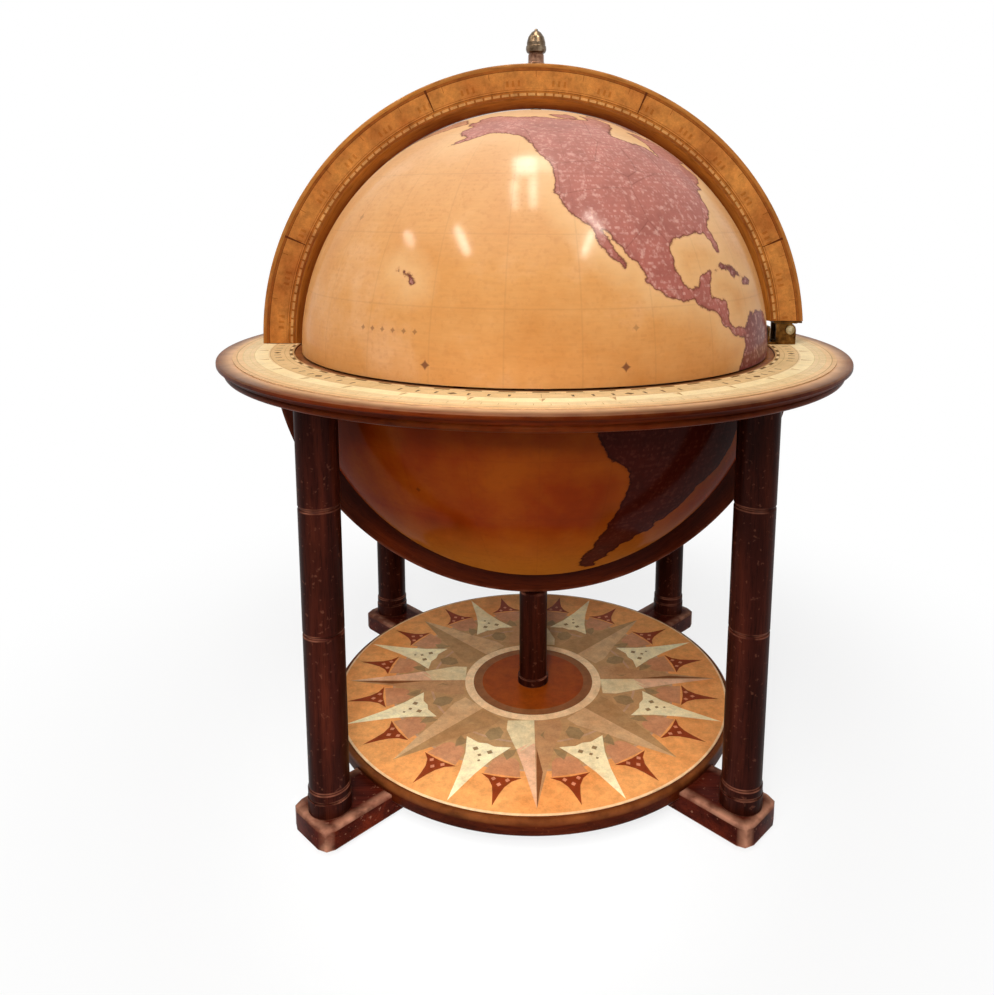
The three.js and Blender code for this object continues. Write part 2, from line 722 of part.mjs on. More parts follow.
function hingePin() {
  const end = cheekBack + seatGap;
  const shank = crossBar(pinRadius, -end, end, turnedSides, pinAlong, pinHeight);
  const heads = [-end - pinHeadThickness, end].map((front) => {
    return crossBar(pinHeadRadius, front, front + pinHeadThickness, turnedSides, pinAlong, pinHeight);
  });
  return join([shank, ...heads]);
}
place(globe, 'hinge_pin', hingePin(), agedBrass);

// Hinge tongue: an eye on the pin under a plate that is screwed to the meridian's end
const tongueHalf = cheekBack - cheekThickness - seatGap;
const plateBottom = hingeHeight - tonguePlateThickness;
const tongueScrewDepth = tongueScrewGrip + seatGap * 2;
const tongueScrewHoles = () => ends.map(([, side]) => {
  const along = pinAlong + side * tongueScrewReach;
  return bar(hingeScrewHole, plateBottom - cutOverrun, hingeHeight + tongueScrewDepth, boltSides, along);
});

function hingeTongue() {
  const eye = crossBar(eyeRadius, -tongueHalf, tongueHalf, turnedSides, pinAlong, pinHeight);
  const armHalf = tongueArmWidth / 2;
  const arm = block([pinAlong - armHalf, pinAlong + armHalf], [-tongueHalf, tongueHalf],
    [pinHeight, plateBottom + tonguePlateThickness / 2]);
  const plate = block([pinAlong - tonguePlateBack, pinAlong + tonguePlateReach],
    [-cheekBack, cheekBack], [plateBottom, hingeHeight]);
  const pinWay = crossBar(pinHole, -cheekBack, cheekBack, turnedSides, pinAlong, pinHeight);
  return cut(join([eye, arm, plate]), [pinWay, ...tongueScrewHoles()]);
}
place(lid, 'hinge_tongue', hingeTongue(), agedBrass);

const tongueScrewLength = tongueScrewGrip + tonguePlateThickness + seatGap;
for (const [end, side] of ends) {
  const screw = fastener(hingeScrewRadius, tongueScrewLength, hingeScrewHeadRadius, hingeScrewHeadThickness);
  const at = [pinAlong + side * tongueScrewReach, 0, plateBottom - seatGap];
  place(lid, `tongue_screw_${end}`, screw, agedBrass, at);
}

// Lid: the upper meridian, its printed scales, the pole pin and the finial
const leftEnd = seatGap;
const rightEnd = hingeHeight + seatGap;

function upperMeridian() {
  const section = meridianSection(upperInside, upperOutside, upperInnerChamfer, upperInnerFlat);
  const half = halfRing(section, leftEnd, rightEnd);
  const pinWay = bar(polePinRadius + boltClearance, upperInside - cutOverrun, upperOutside + cutOverrun,
    boltSides);
  return cut(half, [pinWay, ...tongueScrewHoles()]);
}
place(lid, 'upper_meridian', upperMeridian(), redWood);

function meridianScale() {
  const inner = upperInside + upperInnerChamfer + scaleMargin;
  const outer = upperOutside - scaleOuterMargin;
  const half = scaleThickness / 2;
  const section = [[inner, -half], [outer, -half], [outer, half], [inner, half]];
  return halfRing(section, leftEnd + scaleMargin, rightEnd + scaleMargin);
}
const scaleOffset = (meridianDepth + scaleThickness) / 2 + seatGap;
place(lid, 'meridian_scale_front', meridianScale(), scalePrint, [0, -scaleOffset, 0]);
place(lid, 'meridian_scale_back', meridianScale(), scalePrint, [0, scaleOffset, 0]);

const spacerBottom = globeRadius + seatGap;
const spacerHeight = insideMeridian(upperInside, poleSpacerRadius) - seatGap - spacerBottom;
const poleHole = polePinRadius + boltClearance;
const poleSpacer = flatRing(poleHole, poleSpacerRadius, spacerHeight, turnedSides);
place(lid, 'pole_spacer', poleSpacer, agedBrass, [0, 0, spacerBottom]);

const blockBottom = shellInside - poleBlockDepth;
const washerTop = blockBottom - seatGap;
const nutTop = washerTop - poleWasherThickness - seatGap;
const pinBottom = nutTop - poleNutThickness - polePinTail;
const finialBottom = upperOutside + seatGap;
const poleWasher = flatRing(poleHole, poleWasherRadius, poleWasherThickness, turnedSides);
place(lid, 'pole_washer', poleWasher, agedBrass, [0, 0, washerTop - poleWasherThickness]);
const nutWay = bar(poleHole, -cutOverrun, poleNutThickness + cutOverrun, boltSides);
const poleNut = bar(poleNutRadius, 0, poleNutThickness, hexSides).subtract(nutWay);
place(lid, 'pole_nut', poleNut, agedBrass, [0, 0, nutTop - poleNutThickness]);
const polePin = bar(polePinRadius, pinBottom, finialBottom + finialHoleDepth - seatGap, boltSides);
place(lid, 'pole_pin', polePin, plainSteel);

// The finial's acorn swells from its cap and draws in to a blunt point
function finialSolid() {
  const swell = Array.from({ length: acornSteps }, (_, i) => {
    const share = i / acornSteps;
    const height = finialNeckHeight + acornHeight * share;
    return [acornRadius * Math.cos(Math.PI / 2 * share ** acornFullness), height];
  });
  return turned([
    [0, finialHoleDepth], [poleHole, finialHoleDepth], [poleHole, 0], [finialFootRadius, 0],
    [finialFootRadius, finialFootHeight], [finialNeckRadius, finialFootHeight],
    [finialNeckRadius, finialNeckHeight], ...swell, [0, finialNeckHeight + acornHeight],
  ], turnedSides);
}
place(lid, 'finial', finialSolid(), agedBrass, [0, 0, finialBottom]);

// The upper half of the globe turns on the pole pin, stiffened by a hoop and a block
const cap = new THREE.Group();
lid.add(cap);
const capHole = polePinRadius + spinClearance;

function capSolid() {
  const outer = wallProfile(globeRadius, lidRimLift, capHole, 1);
  const inner = wallProfile(shellInside, lidRimLift, capHole, 1);
  return turnedRing([...outer, ...inner.reverse()], roundSides);
}
place(cap, 'upper_hemisphere', capSolid(), upperMap);

const hoopTop = lidRimLift + lidHoopHeight;
const hoopOuter = inShell(hoopTop);
const rimHoop = flatRing(hoopOuter - lidHoopWidth, hoopOuter, lidHoopHeight);
place(cap, 'upper_rim_hoop', rimHoop, darkWood, [0, 0, lidRimLift]);

function poleBlock() {
  const radius = shellInside - seatGap * 2;
  const wall = wallProfile(radius, lidRimLift, capHole, 1).slice(-poleBlockSteps - 1);
  return turnedRing([...wall, [capHole, blockBottom], [wall[0][0], blockBottom]], poleBlockSides);
}
place(cap, 'pole_block', poleBlock(), paleWood);

export default cabinet;
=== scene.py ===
import bmesh
import bpy
import numpy as np
from mathutils import Matrix, Vector
from mathutils.geometry import delaunay_2d_cdt


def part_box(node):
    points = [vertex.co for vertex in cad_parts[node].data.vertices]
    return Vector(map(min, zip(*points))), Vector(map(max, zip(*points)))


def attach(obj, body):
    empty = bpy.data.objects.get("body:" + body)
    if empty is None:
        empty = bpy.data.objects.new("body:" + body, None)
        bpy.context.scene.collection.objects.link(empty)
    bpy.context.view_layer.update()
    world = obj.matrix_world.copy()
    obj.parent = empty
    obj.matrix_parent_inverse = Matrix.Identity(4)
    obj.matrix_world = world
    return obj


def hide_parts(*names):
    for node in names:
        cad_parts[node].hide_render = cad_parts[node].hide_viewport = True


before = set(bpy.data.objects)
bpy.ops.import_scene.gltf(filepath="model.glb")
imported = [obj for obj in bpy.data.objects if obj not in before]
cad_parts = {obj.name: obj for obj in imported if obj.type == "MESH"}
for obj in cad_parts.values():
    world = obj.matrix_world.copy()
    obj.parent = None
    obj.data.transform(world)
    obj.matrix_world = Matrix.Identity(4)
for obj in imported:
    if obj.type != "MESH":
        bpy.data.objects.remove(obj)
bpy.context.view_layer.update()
print("frame loaded")

mm = 0.001
full = 2 * np.pi
globe = {"radius": 250 * mm, "wall": 3 * mm, "centre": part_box("horizon_print")[1].z}
equator = full * globe["radius"] / mm  # in millimetres, as is the way from it to a pole
quarter = equator / 4


# small tools

def toLinear(colour):
    # sRGB hex to the linear values that a shader socket takes
    values = [int(colour[i:i + 2], 16) / 255 for i in (1, 3, 5)]
    return [v / 12.92 if v <= 0.04045 else ((v + 0.055) / 1.055) ** 2.4 for v in values] + [1.0]


def setInputs(tree, node, inputs):
    # an input is a value, a hex colour, another node's output or another node, for its first output
    for key, value in inputs.items():
        socket = node.inputs[key]
        if isinstance(value, (bpy.types.Node, bpy.types.NodeSocket)):
            tree.links.new(value.outputs[0] if isinstance(value, bpy.types.Node) else value, socket)
        else:
            socket.default_value = toLinear(value) if isinstance(value, str) else value


def addNode(tree, kind, inputs=None, stops=None, **settings):
    # one shader node with its settings and links; stops are places and colours on its ramp
    node = tree.nodes.new("ShaderNode" + kind)
    for key, value in settings.items():
        setattr(node, key, value)
    setInputs(tree, node, inputs or {})
    if stops:
        ramp = node.color_ramp.elements
        ramp.remove(ramp[1])
        ramp[0].position, ramp[0].color = stops[0][0], toLinear(stops[0][1])
        for place, colour in stops[1:]:
            ramp.new(place).color = toLinear(colour)
    return node


def startMaterial(name, **fixed):
    # a Principled surface whose fixed numbers sit on its own sockets
    material = bpy.data.materials.new(name)
    material.use_nodes = True
    tree = material.node_tree
    tree.nodes.clear()
    shader = addNode(tree, "BsdfPrincipled", inputs=fixed)
    addNode(tree, "OutputMaterial", inputs={"Surface": shader})
    return material, tree, shader


def newObject(name, data):
    item = bpy.data.objects.new(name, data)
    bpy.context.scene.collection.objects.link(item)
    return item


def finishMesh(name, mesh, material, sharp=35):
    # doubles merged, faces turned outward, smooth but for edges sharper than the angle
    bm = bmesh.new()
    bm.from_mesh(mesh)
    bmesh.ops.remove_doubles(bm, verts=bm.verts, dist=1e-6)
    bmesh.ops.dissolve_degenerate(bm, edges=bm.edges, dist=1e-7)
    openEdges = [edge for edge in bm.edges if edge.is_boundary]
    if openEdges:
        bmesh.ops.holes_fill(bm, edges=openEdges, sides=0)
    bmesh.ops.recalc_face_normals(bm, faces=bm.faces)
    bm.to_mesh(mesh)
    bm.free()
    mesh.polygons.foreach_set("use_smooth", np.ones(len(mesh.polygons), bool))
    mesh.set_sharp_from_angle(angle=np.radians(sharp))
    mesh.materials.append(material)
    return newObject(name, mesh)


def gridMesh(name, points, wrapRows=False, wrapColumns=False, uv=None, values=None):
    # a surface over rows and columns of points; a wrapped side joins its last line to its first
    rows, columns = points.shape[:2]
    index = np.arange(rows * columns).reshape(rows, columns)
    if wrapRows:
        index = np.vstack([index, index[:1]])
    if wrapColumns:
        index = np.hstack([index, index[:, :1]])
    quads = cornerValues(index[..., None]).reshape(-1, 4)
    mesh = bpy.data.meshes.new(name)
    mesh.vertices.add(rows * columns)
    mesh.vertices.foreach_set("co", points.reshape(-1).astype(np.float32))
    mesh.loops.add(quads.size)
    mesh.loops.foreach_set("vertex_index", quads.reshape(-1).astype(np.int32))
    mesh.polygons.add(len(quads))
    mesh.polygons.foreach_set("loop_start", np.arange(0, quads.size, 4, dtype=np.int32))
    if uv is not None:
        layer = mesh.uv_layers.new(name="UVMap")
        layer.data.foreach_set("uv", cornerValues(uv).reshape(-1).astype(np.float32))
    for key, field in (values or {}).items():
        attribute = mesh.attributes.new(key, "FLOAT", "POINT")
        attribute.data.foreach_set("value", field.reshape(-1).astype(np.float32))
    mesh.update(calc_edges=True)
    mesh.validate()
    return mesh


def cornerValues(field):
    # the four corners of each cell of a grid, in turn
    return np.stack([field[:-1, :-1], field[:-1, 1:], field[1:, 1:], field[1:, :-1]], axis=2)


def rounded(corners, steps=5, closed=True):
    # a profile of (across, up, fillet) corners in millimetres, each corner turned by a curve:
    # (1 - t)^2 start + 2 t (1 - t) corner + t^2 stop; the third number out is wear, 1 on a curve and 0 beside it
    count = len(corners)
    out = []
    for i, (x, y, fillet) in enumerate(corners):
        here = np.array([x, y], float)
        if not closed and i in (0, count - 1):
            out.append([x, y, 0])
            continue
        before = np.array(corners[i - 1][:2], float) - here
        after = np.array(corners[(i + 1) % count][:2], float) - here
        room = min(np.linalg.norm(before), np.linalg.norm(after)) / 2
        before, after = before / np.linalg.norm(before), after / np.linalg.norm(after)
        half = np.arccos(np.clip(before @ after, -1, 1)) / 2
        reach = min(fillet / np.tan(half), room * 0.9) if half < 1.55 else fillet
        guard = min(reach + max(fillet, 0.6) * 1.5, room)
        out.append([*(here + before * guard), 0])
        start, stop = here + before * reach, here + after * reach
        t = np.linspace(0, 1, steps)[:, None]
        curve = (1 - t) ** 2 * start + 2 * t * (1 - t) * here + t ** 2 * stop
        out += [[*point, 1] for point in curve]
        out.append([*(here + after * guard), 0])
    return np.array(out) * [mm, mm, 1]


def arcRows(centre, radius, start, stop, wear=0, steps=8):
    # part of a profile: points on an arc between two angles in degrees, all with one wear
    angle = np.radians(np.linspace(start, stop, steps))
    return np.column_stack([(centre[0] + radius * np.cos(angle)) * mm, (centre[1] + radius * np.sin(angle)) * mm,
                            np.full(steps, wear)])


def cutAway(piece, blocks):
    # boxes, each (lengths, middle, turn about Z), are taken out of the piece's solid
    for lengths, middle, turn in blocks:
        bm = bmesh.new()
        place = Matrix.Rotation(turn, 4, "Z") @ Matrix.Translation(middle) @ Matrix.Diagonal((*lengths, 1))
        bmesh.ops.create_cube(bm, size=1, matrix=place)
        mesh = bpy.data.meshes.new("cutter")
        bm.to_mesh(mesh)
        bm.free()
        cutter = newObject("cutter", mesh)
        hollow = piece.modifiers.new("hollow", "BOOLEAN")
        hollow.operation, hollow.solver, hollow.object = "DIFFERENCE", "EXACT", cutter
        ready = piece.evaluated_get(bpy.context.evaluated_depsgraph_get())
        solid = bpy.data.meshes.new_from_object(ready)
        piece.modifiers.clear()
        old, piece.data = piece.data, solid
        bpy.data.meshes.remove(old)
        bpy.data.objects.remove(cutter)
        bpy.data.meshes.remove(mesh)
    return piece


def faceMiddles(mesh):
    # one row for each face
    middles = np.empty(len(mesh.polygons) * 3)
    mesh.polygons.foreach_get("center", middles)
    return middles.reshape(-1, 3)


def vertexPlaces(mesh):
    # one row for each vertex
    places = np.empty(len(mesh.vertices) * 3)
    mesh.vertices.foreach_get("co", places)
    return places.reshape(-1, 3)


def turnedPiece(name, profile, material, turns=160, at=(0, 0, 0), closed=True, sharp=35):
    # a profile of (radius, height, wear and at will shade) carried once round the upright axis through a point:
    # (radius cos u, radius sin u, height)
    angle = np.arange(turns) * full / turns
    radius, height, wear = profile.T[:3]
    shade = profile.T[-1] if profile.shape[1] > 3 else wear * 0
    points = np.stack([
        at[0] + radius[:, None] * np.cos(angle),
        at[1] + radius[:, None] * np.sin(angle),
        at[2] + np.repeat(height[:, None], turns, 1),
    ], axis=-1)
    ring = np.vstack([profile, profile[:1]]) if closed else profile
    length = np.concatenate([[0], np.cumsum(np.linalg.norm(np.diff(ring[:, :2], axis=0), axis=1))])
    around = np.linspace(0, full * radius.max(), turns + 1)
    uv = np.stack(np.meshgrid(around, length), axis=-1)
    marks = {"wear": np.repeat(wear[:, None], turns, 1), "shade": np.repeat(shade[:, None], turns, 1)}
    mesh = gridMesh(name, points, closed, True, uv, marks)
    return finishMesh(name, mesh, material, sharp)


def sweptHalfRing(name, section, levels, centre, material, down=False, steps=180, paintedShadeBand=7 * mm):
    # a closed section of (radius, depth, wear) carried over half a turn: (radius cos u, depth, radius sin u),
    # each line of it from the angle where it meets the right end's level to where it meets the left end's
    radius, depth, wear = section.T
    first = np.arcsin(levels[1] / radius)
    last = np.pi - np.arcsin(levels[0] / radius)
    t = np.linspace(0, 1, steps + 1)
    angle = first[:, None] + (last - first)[:, None] * t
    side = -1 if down else 1
    points = np.stack([
        radius[:, None] * np.cos(angle),
        np.repeat(depth[:, None], steps + 1, 1) * side,
        centre + side * radius[:, None] * np.sin(angle),
    ], axis=-1)
    ring = np.vstack([section, section[:1]])
    length = np.concatenate([[0], np.cumsum(np.linalg.norm(np.diff(ring[:, :2], axis=0), axis=1))])
    uv = np.stack(np.meshgrid(t * np.pi * radius.mean(), length), axis=-1)
    worn = np.repeat(wear[:, None], steps + 1, 1)
    # painted shade: the band of the section nearest the globe, its inner face and chamfer, is darkened
    shade = np.repeat((radius < radius.min() + paintedShadeBand)[:, None], steps + 1, 1)
    mesh = gridMesh(name, points, True, False, uv, {"wear": worn, "shade": shade})
    return finishMesh(name, mesh, material)


def stand(piece, body, slot, *nodes):
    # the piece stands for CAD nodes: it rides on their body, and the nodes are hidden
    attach(piece, body)
    if nodes:
        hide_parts(*nodes)
    return piece


# materials

def perSize(size):
    # the scale of a pattern from the size of its features in millimetres: 1 over that size in metres
    return 1 / (size * mm)


def stainedWood(name, look, layer="Object", grain=(16.67, 16.67, 250)):
    # beech: close straight grain, stained so that the pores take more colour, lacquered, rubbed at edges
    # the grain's size is across, across and along; its pores are a ninth of that, ten times real ones, so as to show
    material, tree, shader = startMaterial(name, **{
        "Coat Weight": look["lacquer"], "Coat Roughness": 0.2, "IOR": 1.5, "Specular IOR Level": look["sheen"],
    })
    place = addNode(tree, "TexCoord").outputs[layer]
    along = addNode(tree, "Mapping", {"Vector": place, "Scale": [perSize(size) for size in grain]})
    bands = addNode(tree, "TexNoise", {
        "Vector": along, "Scale": 1.0, "Detail": 6.0, "Roughness": 0.6, "Distortion": 0.6})
    stain = addNode(tree, "ValToRGB", {"Fac": bands}, stops=[
        (0.3, look["dark"]), (0.5, look["middle"]), (0.72, look["light"])])
    pores = addNode(tree, "TexNoise", {"Vector": along, "Scale": 9.0, "Detail": 3.0, "Roughness": 0.7})
    poreDepth = addNode(tree, "MapRange", {
        "Value": pores, "From Min": 0.35, "From Max": 0.5, "To Min": 0.6, "To Max": 1.0})
    clouds = addNode(tree, "TexNoise", {"Vector": place, "Scale": perSize(111.1), "Detail": 3.0})
    cloudTone = addNode(tree, "MapRange", {
        "Value": clouds, "From Min": 0.3, "From Max": 0.7, "To Min": 0.72, "To Max": 1.2})
    tone = addNode(tree, "Math", {0: poreDepth, 1: cloudTone}, operation="MULTIPLY")
    body = addNode(tree, "Mix", {0: 1.0, 6: stain, 7: tone},  # 6 and 7 are a Mix node's two colours
                   data_type="RGBA", blend_type="MULTIPLY").outputs[2]
    flecks = addNode(tree, "TexNoise", {"Vector": place, "Scale": perSize(4.76), "Detail": 2.0})
    fleckMask = addNode(tree, "MapRange", {
        "Value": flecks, "From Min": 0.64, "From Max": 0.72, "To Max": look["flecks"]})
    wear = addNode(tree, "Attribute", attribute_name="wear").outputs["Fac"]
    rub = addNode(tree, "TexNoise", {"Vector": place, "Scale": perSize(18.18), "Detail": 4.0})
    rubMask = addNode(tree, "MapRange", {
        "Value": rub, "From Min": 0.38, "From Max": 0.62, "To Min": look["rubbed"] * look["even"],
        "To Max": look["rubbed"]})
    worn = addNode(tree, "Math", {0: wear, 1: rubMask}, operation="MULTIPLY")
    mask = addNode(tree, "Math", {0: worn, 1: fleckMask}, operation="MAXIMUM")
    colour = addNode(tree, "Mix", {0: mask, 6: body, 7: look["worn"]}, data_type="RGBA").outputs[2]
    # the shade attribute brings in painted shade on the meridians' inner bands and a pale margin tint on the ring's
    # top
    shade = addNode(tree, "Attribute", attribute_name="shade").outputs["Fac"]
    mottle = addNode(tree, "MapRange", {
        "Value": rub, "From Min": 0.35, "From Max": 0.6, "To Min": 0.8, "To Max": 1.0})
    tintAndPaintedShadeMask = addNode(tree, "Math", {0: shade, 1: mottle}, operation="MULTIPLY")
    shaded = addNode(tree, "Mix", {0: tintAndPaintedShadeMask, 6: colour, 7: look["shade"]}, data_type="RGBA").outputs[2]
    rough = addNode(tree, "MapRange", {
        "Value": clouds, "From Min": 0.3, "From Max": 0.7, "To Min": 0.28, "To Max": 0.44})
    bump = addNode(tree, "Bump", {"Height": pores, "Strength": 0.25, "Distance": 0.2 * mm})
    setInputs(tree, shader, {"Base Color": shaded, "Roughness": rough, "Normal": bump})
    return material


# stain from dark to light, the bare wood of worn edges, and the colour that a piece's own shade attribute brings in:
# painted shade on the meridians' inner bands next to the globe, the pale margin tint on the ring's top
darkLook = {"dark": "#1E0703", "middle": "#2F0F08", "light": "#441A0E", "worn": "#8A5440",
            "shade": "#150604", "lacquer": 0.03, "sheen": 0.02, "flecks": 0.2, "rubbed": 0.6, "even": 0.0}
# its shade colour is painted shade on the lower meridian's inner band
bentLook = {"dark": "#340E03", "middle": "#461604", "light": "#582008", "worn": "#7A4430",
            "shade": "#240A05", "lacquer": 0.03, "sheen": 0.02, "flecks": 0.1, "rubbed": 0.5, "even": 0.0}
shelfLook = {"dark": "#2A0B03", "middle": "#401405", "light": "#54210A", "worn": "#94562A",
             "shade": "#2A0C05", "lacquer": 0.02, "sheen": 0.02, "flecks": 0.1, "rubbed": 0.55, "even": 0.4}
redLook = {"dark": "#280803", "middle": "#44150B", "light": "#5C1F0F", "worn": "#BE866A",
           "shade": "#2E0C05", "lacquer": 0.02, "sheen": 0.015, "flecks": 0.25, "rubbed": 0.78, "even": 0.25}
ringLook = {"dark": "#3C0E02", "middle": "#541B02", "light": "#66240A", "worn": "#6E3814",
            "shade": "#DFB084", "lacquer": 0.02, "sheen": 0.02, "flecks": 0.1, "rubbed": 0.7, "even": 0.0}
# its shade colour is painted shade on the inner chamfer next to the globe
archLook = {"dark": "#94521C", "middle": "#AE6A26", "light": "#C47E34", "worn": "#C48648",
            "shade": "#6E340E", "lacquer": 0.08, "sheen": 0.1, "flecks": 0.15, "rubbed": 0.6, "even": 0.0}
deckLook = {"dark": "#6E3A1A", "middle": "#8E5228", "light": "#A8683A", "worn": "#C08A58",
            "shade": "#6E3A1A", "lacquer": 0.3, "sheen": 0.5, "flecks": 0.1, "rubbed": 0.4, "even": 0.0}
bareLook = {"dark": "#B8895C", "middle": "#C99C6E", "light": "#D8B088", "worn": "#DDBB94",
            "shade": "#B8895C", "lacquer": 0.0, "sheen": 0.4, "flecks": 0.0, "rubbed": 0.2, "even": 0.0}

uprightGrain, acrossGrain, bentGrain = (14.29, 14.29, 200), (200, 14.29, 14.29), (200, 14.29, 1000)
darkBeech = stainedWood("darkStainedBeech", darkLook, grain=uprightGrain)
shelfWood = stainedWood("darkStainedShelf", shelfLook, grain=acrossGrain)
darkBent = stainedWood("darkBentBeech", bentLook, "UV", bentGrain)
ringWood = stainedWood("redBentBeech", ringLook, "UV", bentGrain)
archBent = stainedWood("upperMeridianBeech", archLook, "UV", bentGrain)
redArm = {side: stainedWood(f"redStainedArm{side}", redLook, grain=acrossGrain) for side in ("Under", "Over")}
deckWood = stainedWood("deckVeneer", deckLook, grain=(250, 22.22, 22.22))
bareBeech = stainedWood("bareBeech", bareLook, grain=uprightGrain)


def printedPaper(name, aged, tint):
    # lithographed paper under satin varnish: flat inks, faint fibre, brown patina in clouds
    material, tree, shader = startMaterial(name, **{
        "Coat Weight": 0.04, "Coat Roughness": 0.2, "IOR": 1.48, "Roughness": 0.55, "Specular IOR Level": 0.06,
    })
    place = addNode(tree, "TexCoord").outputs["Object"]
    ink = addNode(tree, "Attribute", attribute_name="ink").outputs["Color"]
    fibre = addNode(tree, "TexNoise", {  # real fibre is finer, it is drawn so that it shows
        "Vector": place, "Scale": perSize(1.11), "Detail": 3.0, "Roughness": 0.7})
    fibreTone = addNode(tree, "MapRange", {
        "Value": fibre, "From Min": 0.3, "From Max": 0.7, "To Min": 0.9, "To Max": 1.08})
    clouds = addNode(tree, "TexNoise", {"Vector": place, "Scale": perSize(62.5), "Detail": 6.0, "Roughness": 0.6})
    patina = addNode(tree, "MapRange", {"Value": clouds, "From Min": 0.38, "From Max": 0.68, "To Max": aged})
    specks = addNode(tree, "TexNoise", {"Vector": place, "Scale": perSize(12.5), "Detail": 5.0, "Roughness": 0.75})
    speckTone = addNode(tree, "MapRange", {
        "Value": specks, "From Min": 0.34, "From Max": 0.62, "To Min": 1 - aged * 0.55, "To Max": 1.05})
    tone = addNode(tree, "Math", {0: fibreTone, 1: speckTone}, operation="MULTIPLY")
    fresh = addNode(tree, "Mix", {0: 1.0, 6: ink, 7: tone}, data_type="RGBA", blend_type="MULTIPLY").outputs[2]
    colour = addNode(tree, "Mix", {0: patina, 6: fresh, 7: tint},
                     data_type="RGBA", blend_type="MULTIPLY").outputs[2]
    bump = addNode(tree, "Bump", {"Height": fibre, "Strength": 0.15, "Distance": 0.1 * mm})
    setInputs(tree, shader, {"Base Color": colour, "Normal": bump})
    return material


def metal(name, colours, rough, tarnish=0.5, metallic=1.0):
    # turned or pressed metal: fine turning marks, tarnish settled in clouds
    material, tree, shader = startMaterial(name, **{"Metallic": metallic})
    place = addNode(tree, "TexCoord").outputs["Object"]
    clouds = addNode(tree, "TexNoise", {"Vector": place, "Scale": perSize(7.69), "Detail": 5.0, "Roughness": 0.65})
    colour = addNode(tree, "ValToRGB", {"Fac": clouds}, stops=[
        (0.5 - 0.3 * tarnish, colours[0]), (0.55, colours[1]), (0.8, colours[2])])
    lines = addNode(tree, "Mapping", {"Vector": place, "Scale": (perSize(5), perSize(5), perSize(0.385))})
    marks = addNode(tree, "TexNoise", {"Vector": lines, "Scale": 1.0, "Detail": 2.0})
    roughness = addNode(tree, "MapRange", {
        "Value": clouds, "From Min": 0.3, "From Max": 0.7,
        "To Min": rough + 0.12, "To Max": rough - 0.06})
    bump = addNode(tree, "Bump", {"Height": marks, "Strength": 0.12, "Distance": 0.05 * mm})
    setInputs(tree, shader, {"Base Color": colour, "Roughness": roughness, "Normal": bump})
    return material


agedBrass = metal("agedBrass", ("#33200C", "#6E4A22", "#A07A44"), 0.36)
rubbedBrass = metal("rubbedBrass", ("#5A4628", "#A08C64", "#D8C8A4"), 0.24)
pewter = metal("darkenedPewter", ("#3A2C20", "#6C5A48", "#A4927A"), 0.3, 0.6)
copperyBrass = metal("copperyBrass", ("#54362A", "#98725C", "#C8A28C"), 0.34)
zincSteel = metal("zincPlatedSteel", ("#8C8C88", "#ACACA8", "#C4C4C0"), 0.34, 0.3)


def feltMaterial():
    # pressed wool felt: short matted fibres, no shine but a soft sheen
    material, tree, shader = startMaterial("greyFelt", **{"Roughness": 0.95, "Sheen Weight": 0.3})
    place = addNode(tree, "TexCoord").outputs["Object"]
    fibres = addNode(tree, "TexNoise", {"Vector": place, "Scale": perSize(0.625), "Detail": 4.0, "Distortion": 1.5})
    colour = addNode(tree, "ValToRGB", {"Fac": fibres}, stops=[(0.3, "#37322D"), (0.7, "#625A52")])
    bump = addNode(tree, "Bump", {"Height": fibres, "Strength": 0.6, "Distance": 0.3 * mm})
    setInputs(tree, shader, {"Base Color": colour, "Normal": bump})
    return material


def boardMaterial():
    # pressed pulp board inside the globe, painted a flat brown
    material, tree, shader = startMaterial("paintedPulpBoard", **{"Roughness": 0.6})
    place = addNode(tree, "TexCoord").outputs["Object"]
    grit = addNode(tree, "TexNoise", {"Vector": place, "Scale": perSize(3.85), "Detail": 6.0, "Roughness": 0.7})
    colour = addNode(tree, "ValToRGB", {"Fac": grit}, stops=[(0.3, "#5A3218"), (0.7, "#7A4A28")])
    bump = addNode(tree, "Bump", {"Height": grit, "Strength": 0.4, "Distance": 0.4 * mm})
    setInputs(tree, shader, {"Base Color": colour, "Normal": bump})
    return material


greyFelt = feltMaterial()
pulpBoard = boardMaterial()
printedRose = printedPaper("varnishedRosePrint", 0.42, "#E4B484")
printedHorizon = printedPaper("varnishedHorizonPrint", 0.22, "#D8C48C")
printedScale = printedPaper("varnishedScalePrint", 0.62, "#A8682E")


# the printed maps; their UV is longitude over 360 degrees and latitude over 90

def mapSea(tree, look, coords, poleTintAndLightMask):
    # sea tint in soft clouds, streaked along the parallels, paler toward the pole: partly the map's pale polar tint,
    # partly painted light, the globe's top lit from above and the bowl's bottom lit from the shelf
    clouds = addNode(tree, "TexNoise", {
        "Vector": coords["Object"], "Scale": perSize(90.9), "Detail": 5.0, "Roughness": 0.6})
    tint = addNode(tree, "ValToRGB", {"Fac": clouds}, stops=[
        (0.3, look["seaDark"]), (0.5, look["sea"]), (0.7, look["seaLight"])])
    paled = addNode(tree, "Mix", {0: poleTintAndLightMask, 6: tint, 7: look["pole"]}, data_type="RGBA").outputs[2]
    along = addNode(tree, "Mapping", {"Vector": coords["UV"], "Scale": (equator / 17.45, quarter / 3.02, 1)})
    streaks = addNode(tree, "TexNoise", {"Vector": along, "Scale": 1.0, "Detail": 5.0, "Roughness": 0.65})
    tone = addNode(tree, "MapRange", {
        "Value": streaks, "From Min": 0.3, "From Max": 0.7, "To Min": 0.96, "To Max": 1.035})
    return addNode(tree, "Mix", {0: 1.0, 6: paled, 7: tone}, data_type="RGBA", blend_type="MULTIPLY").outputs[2]


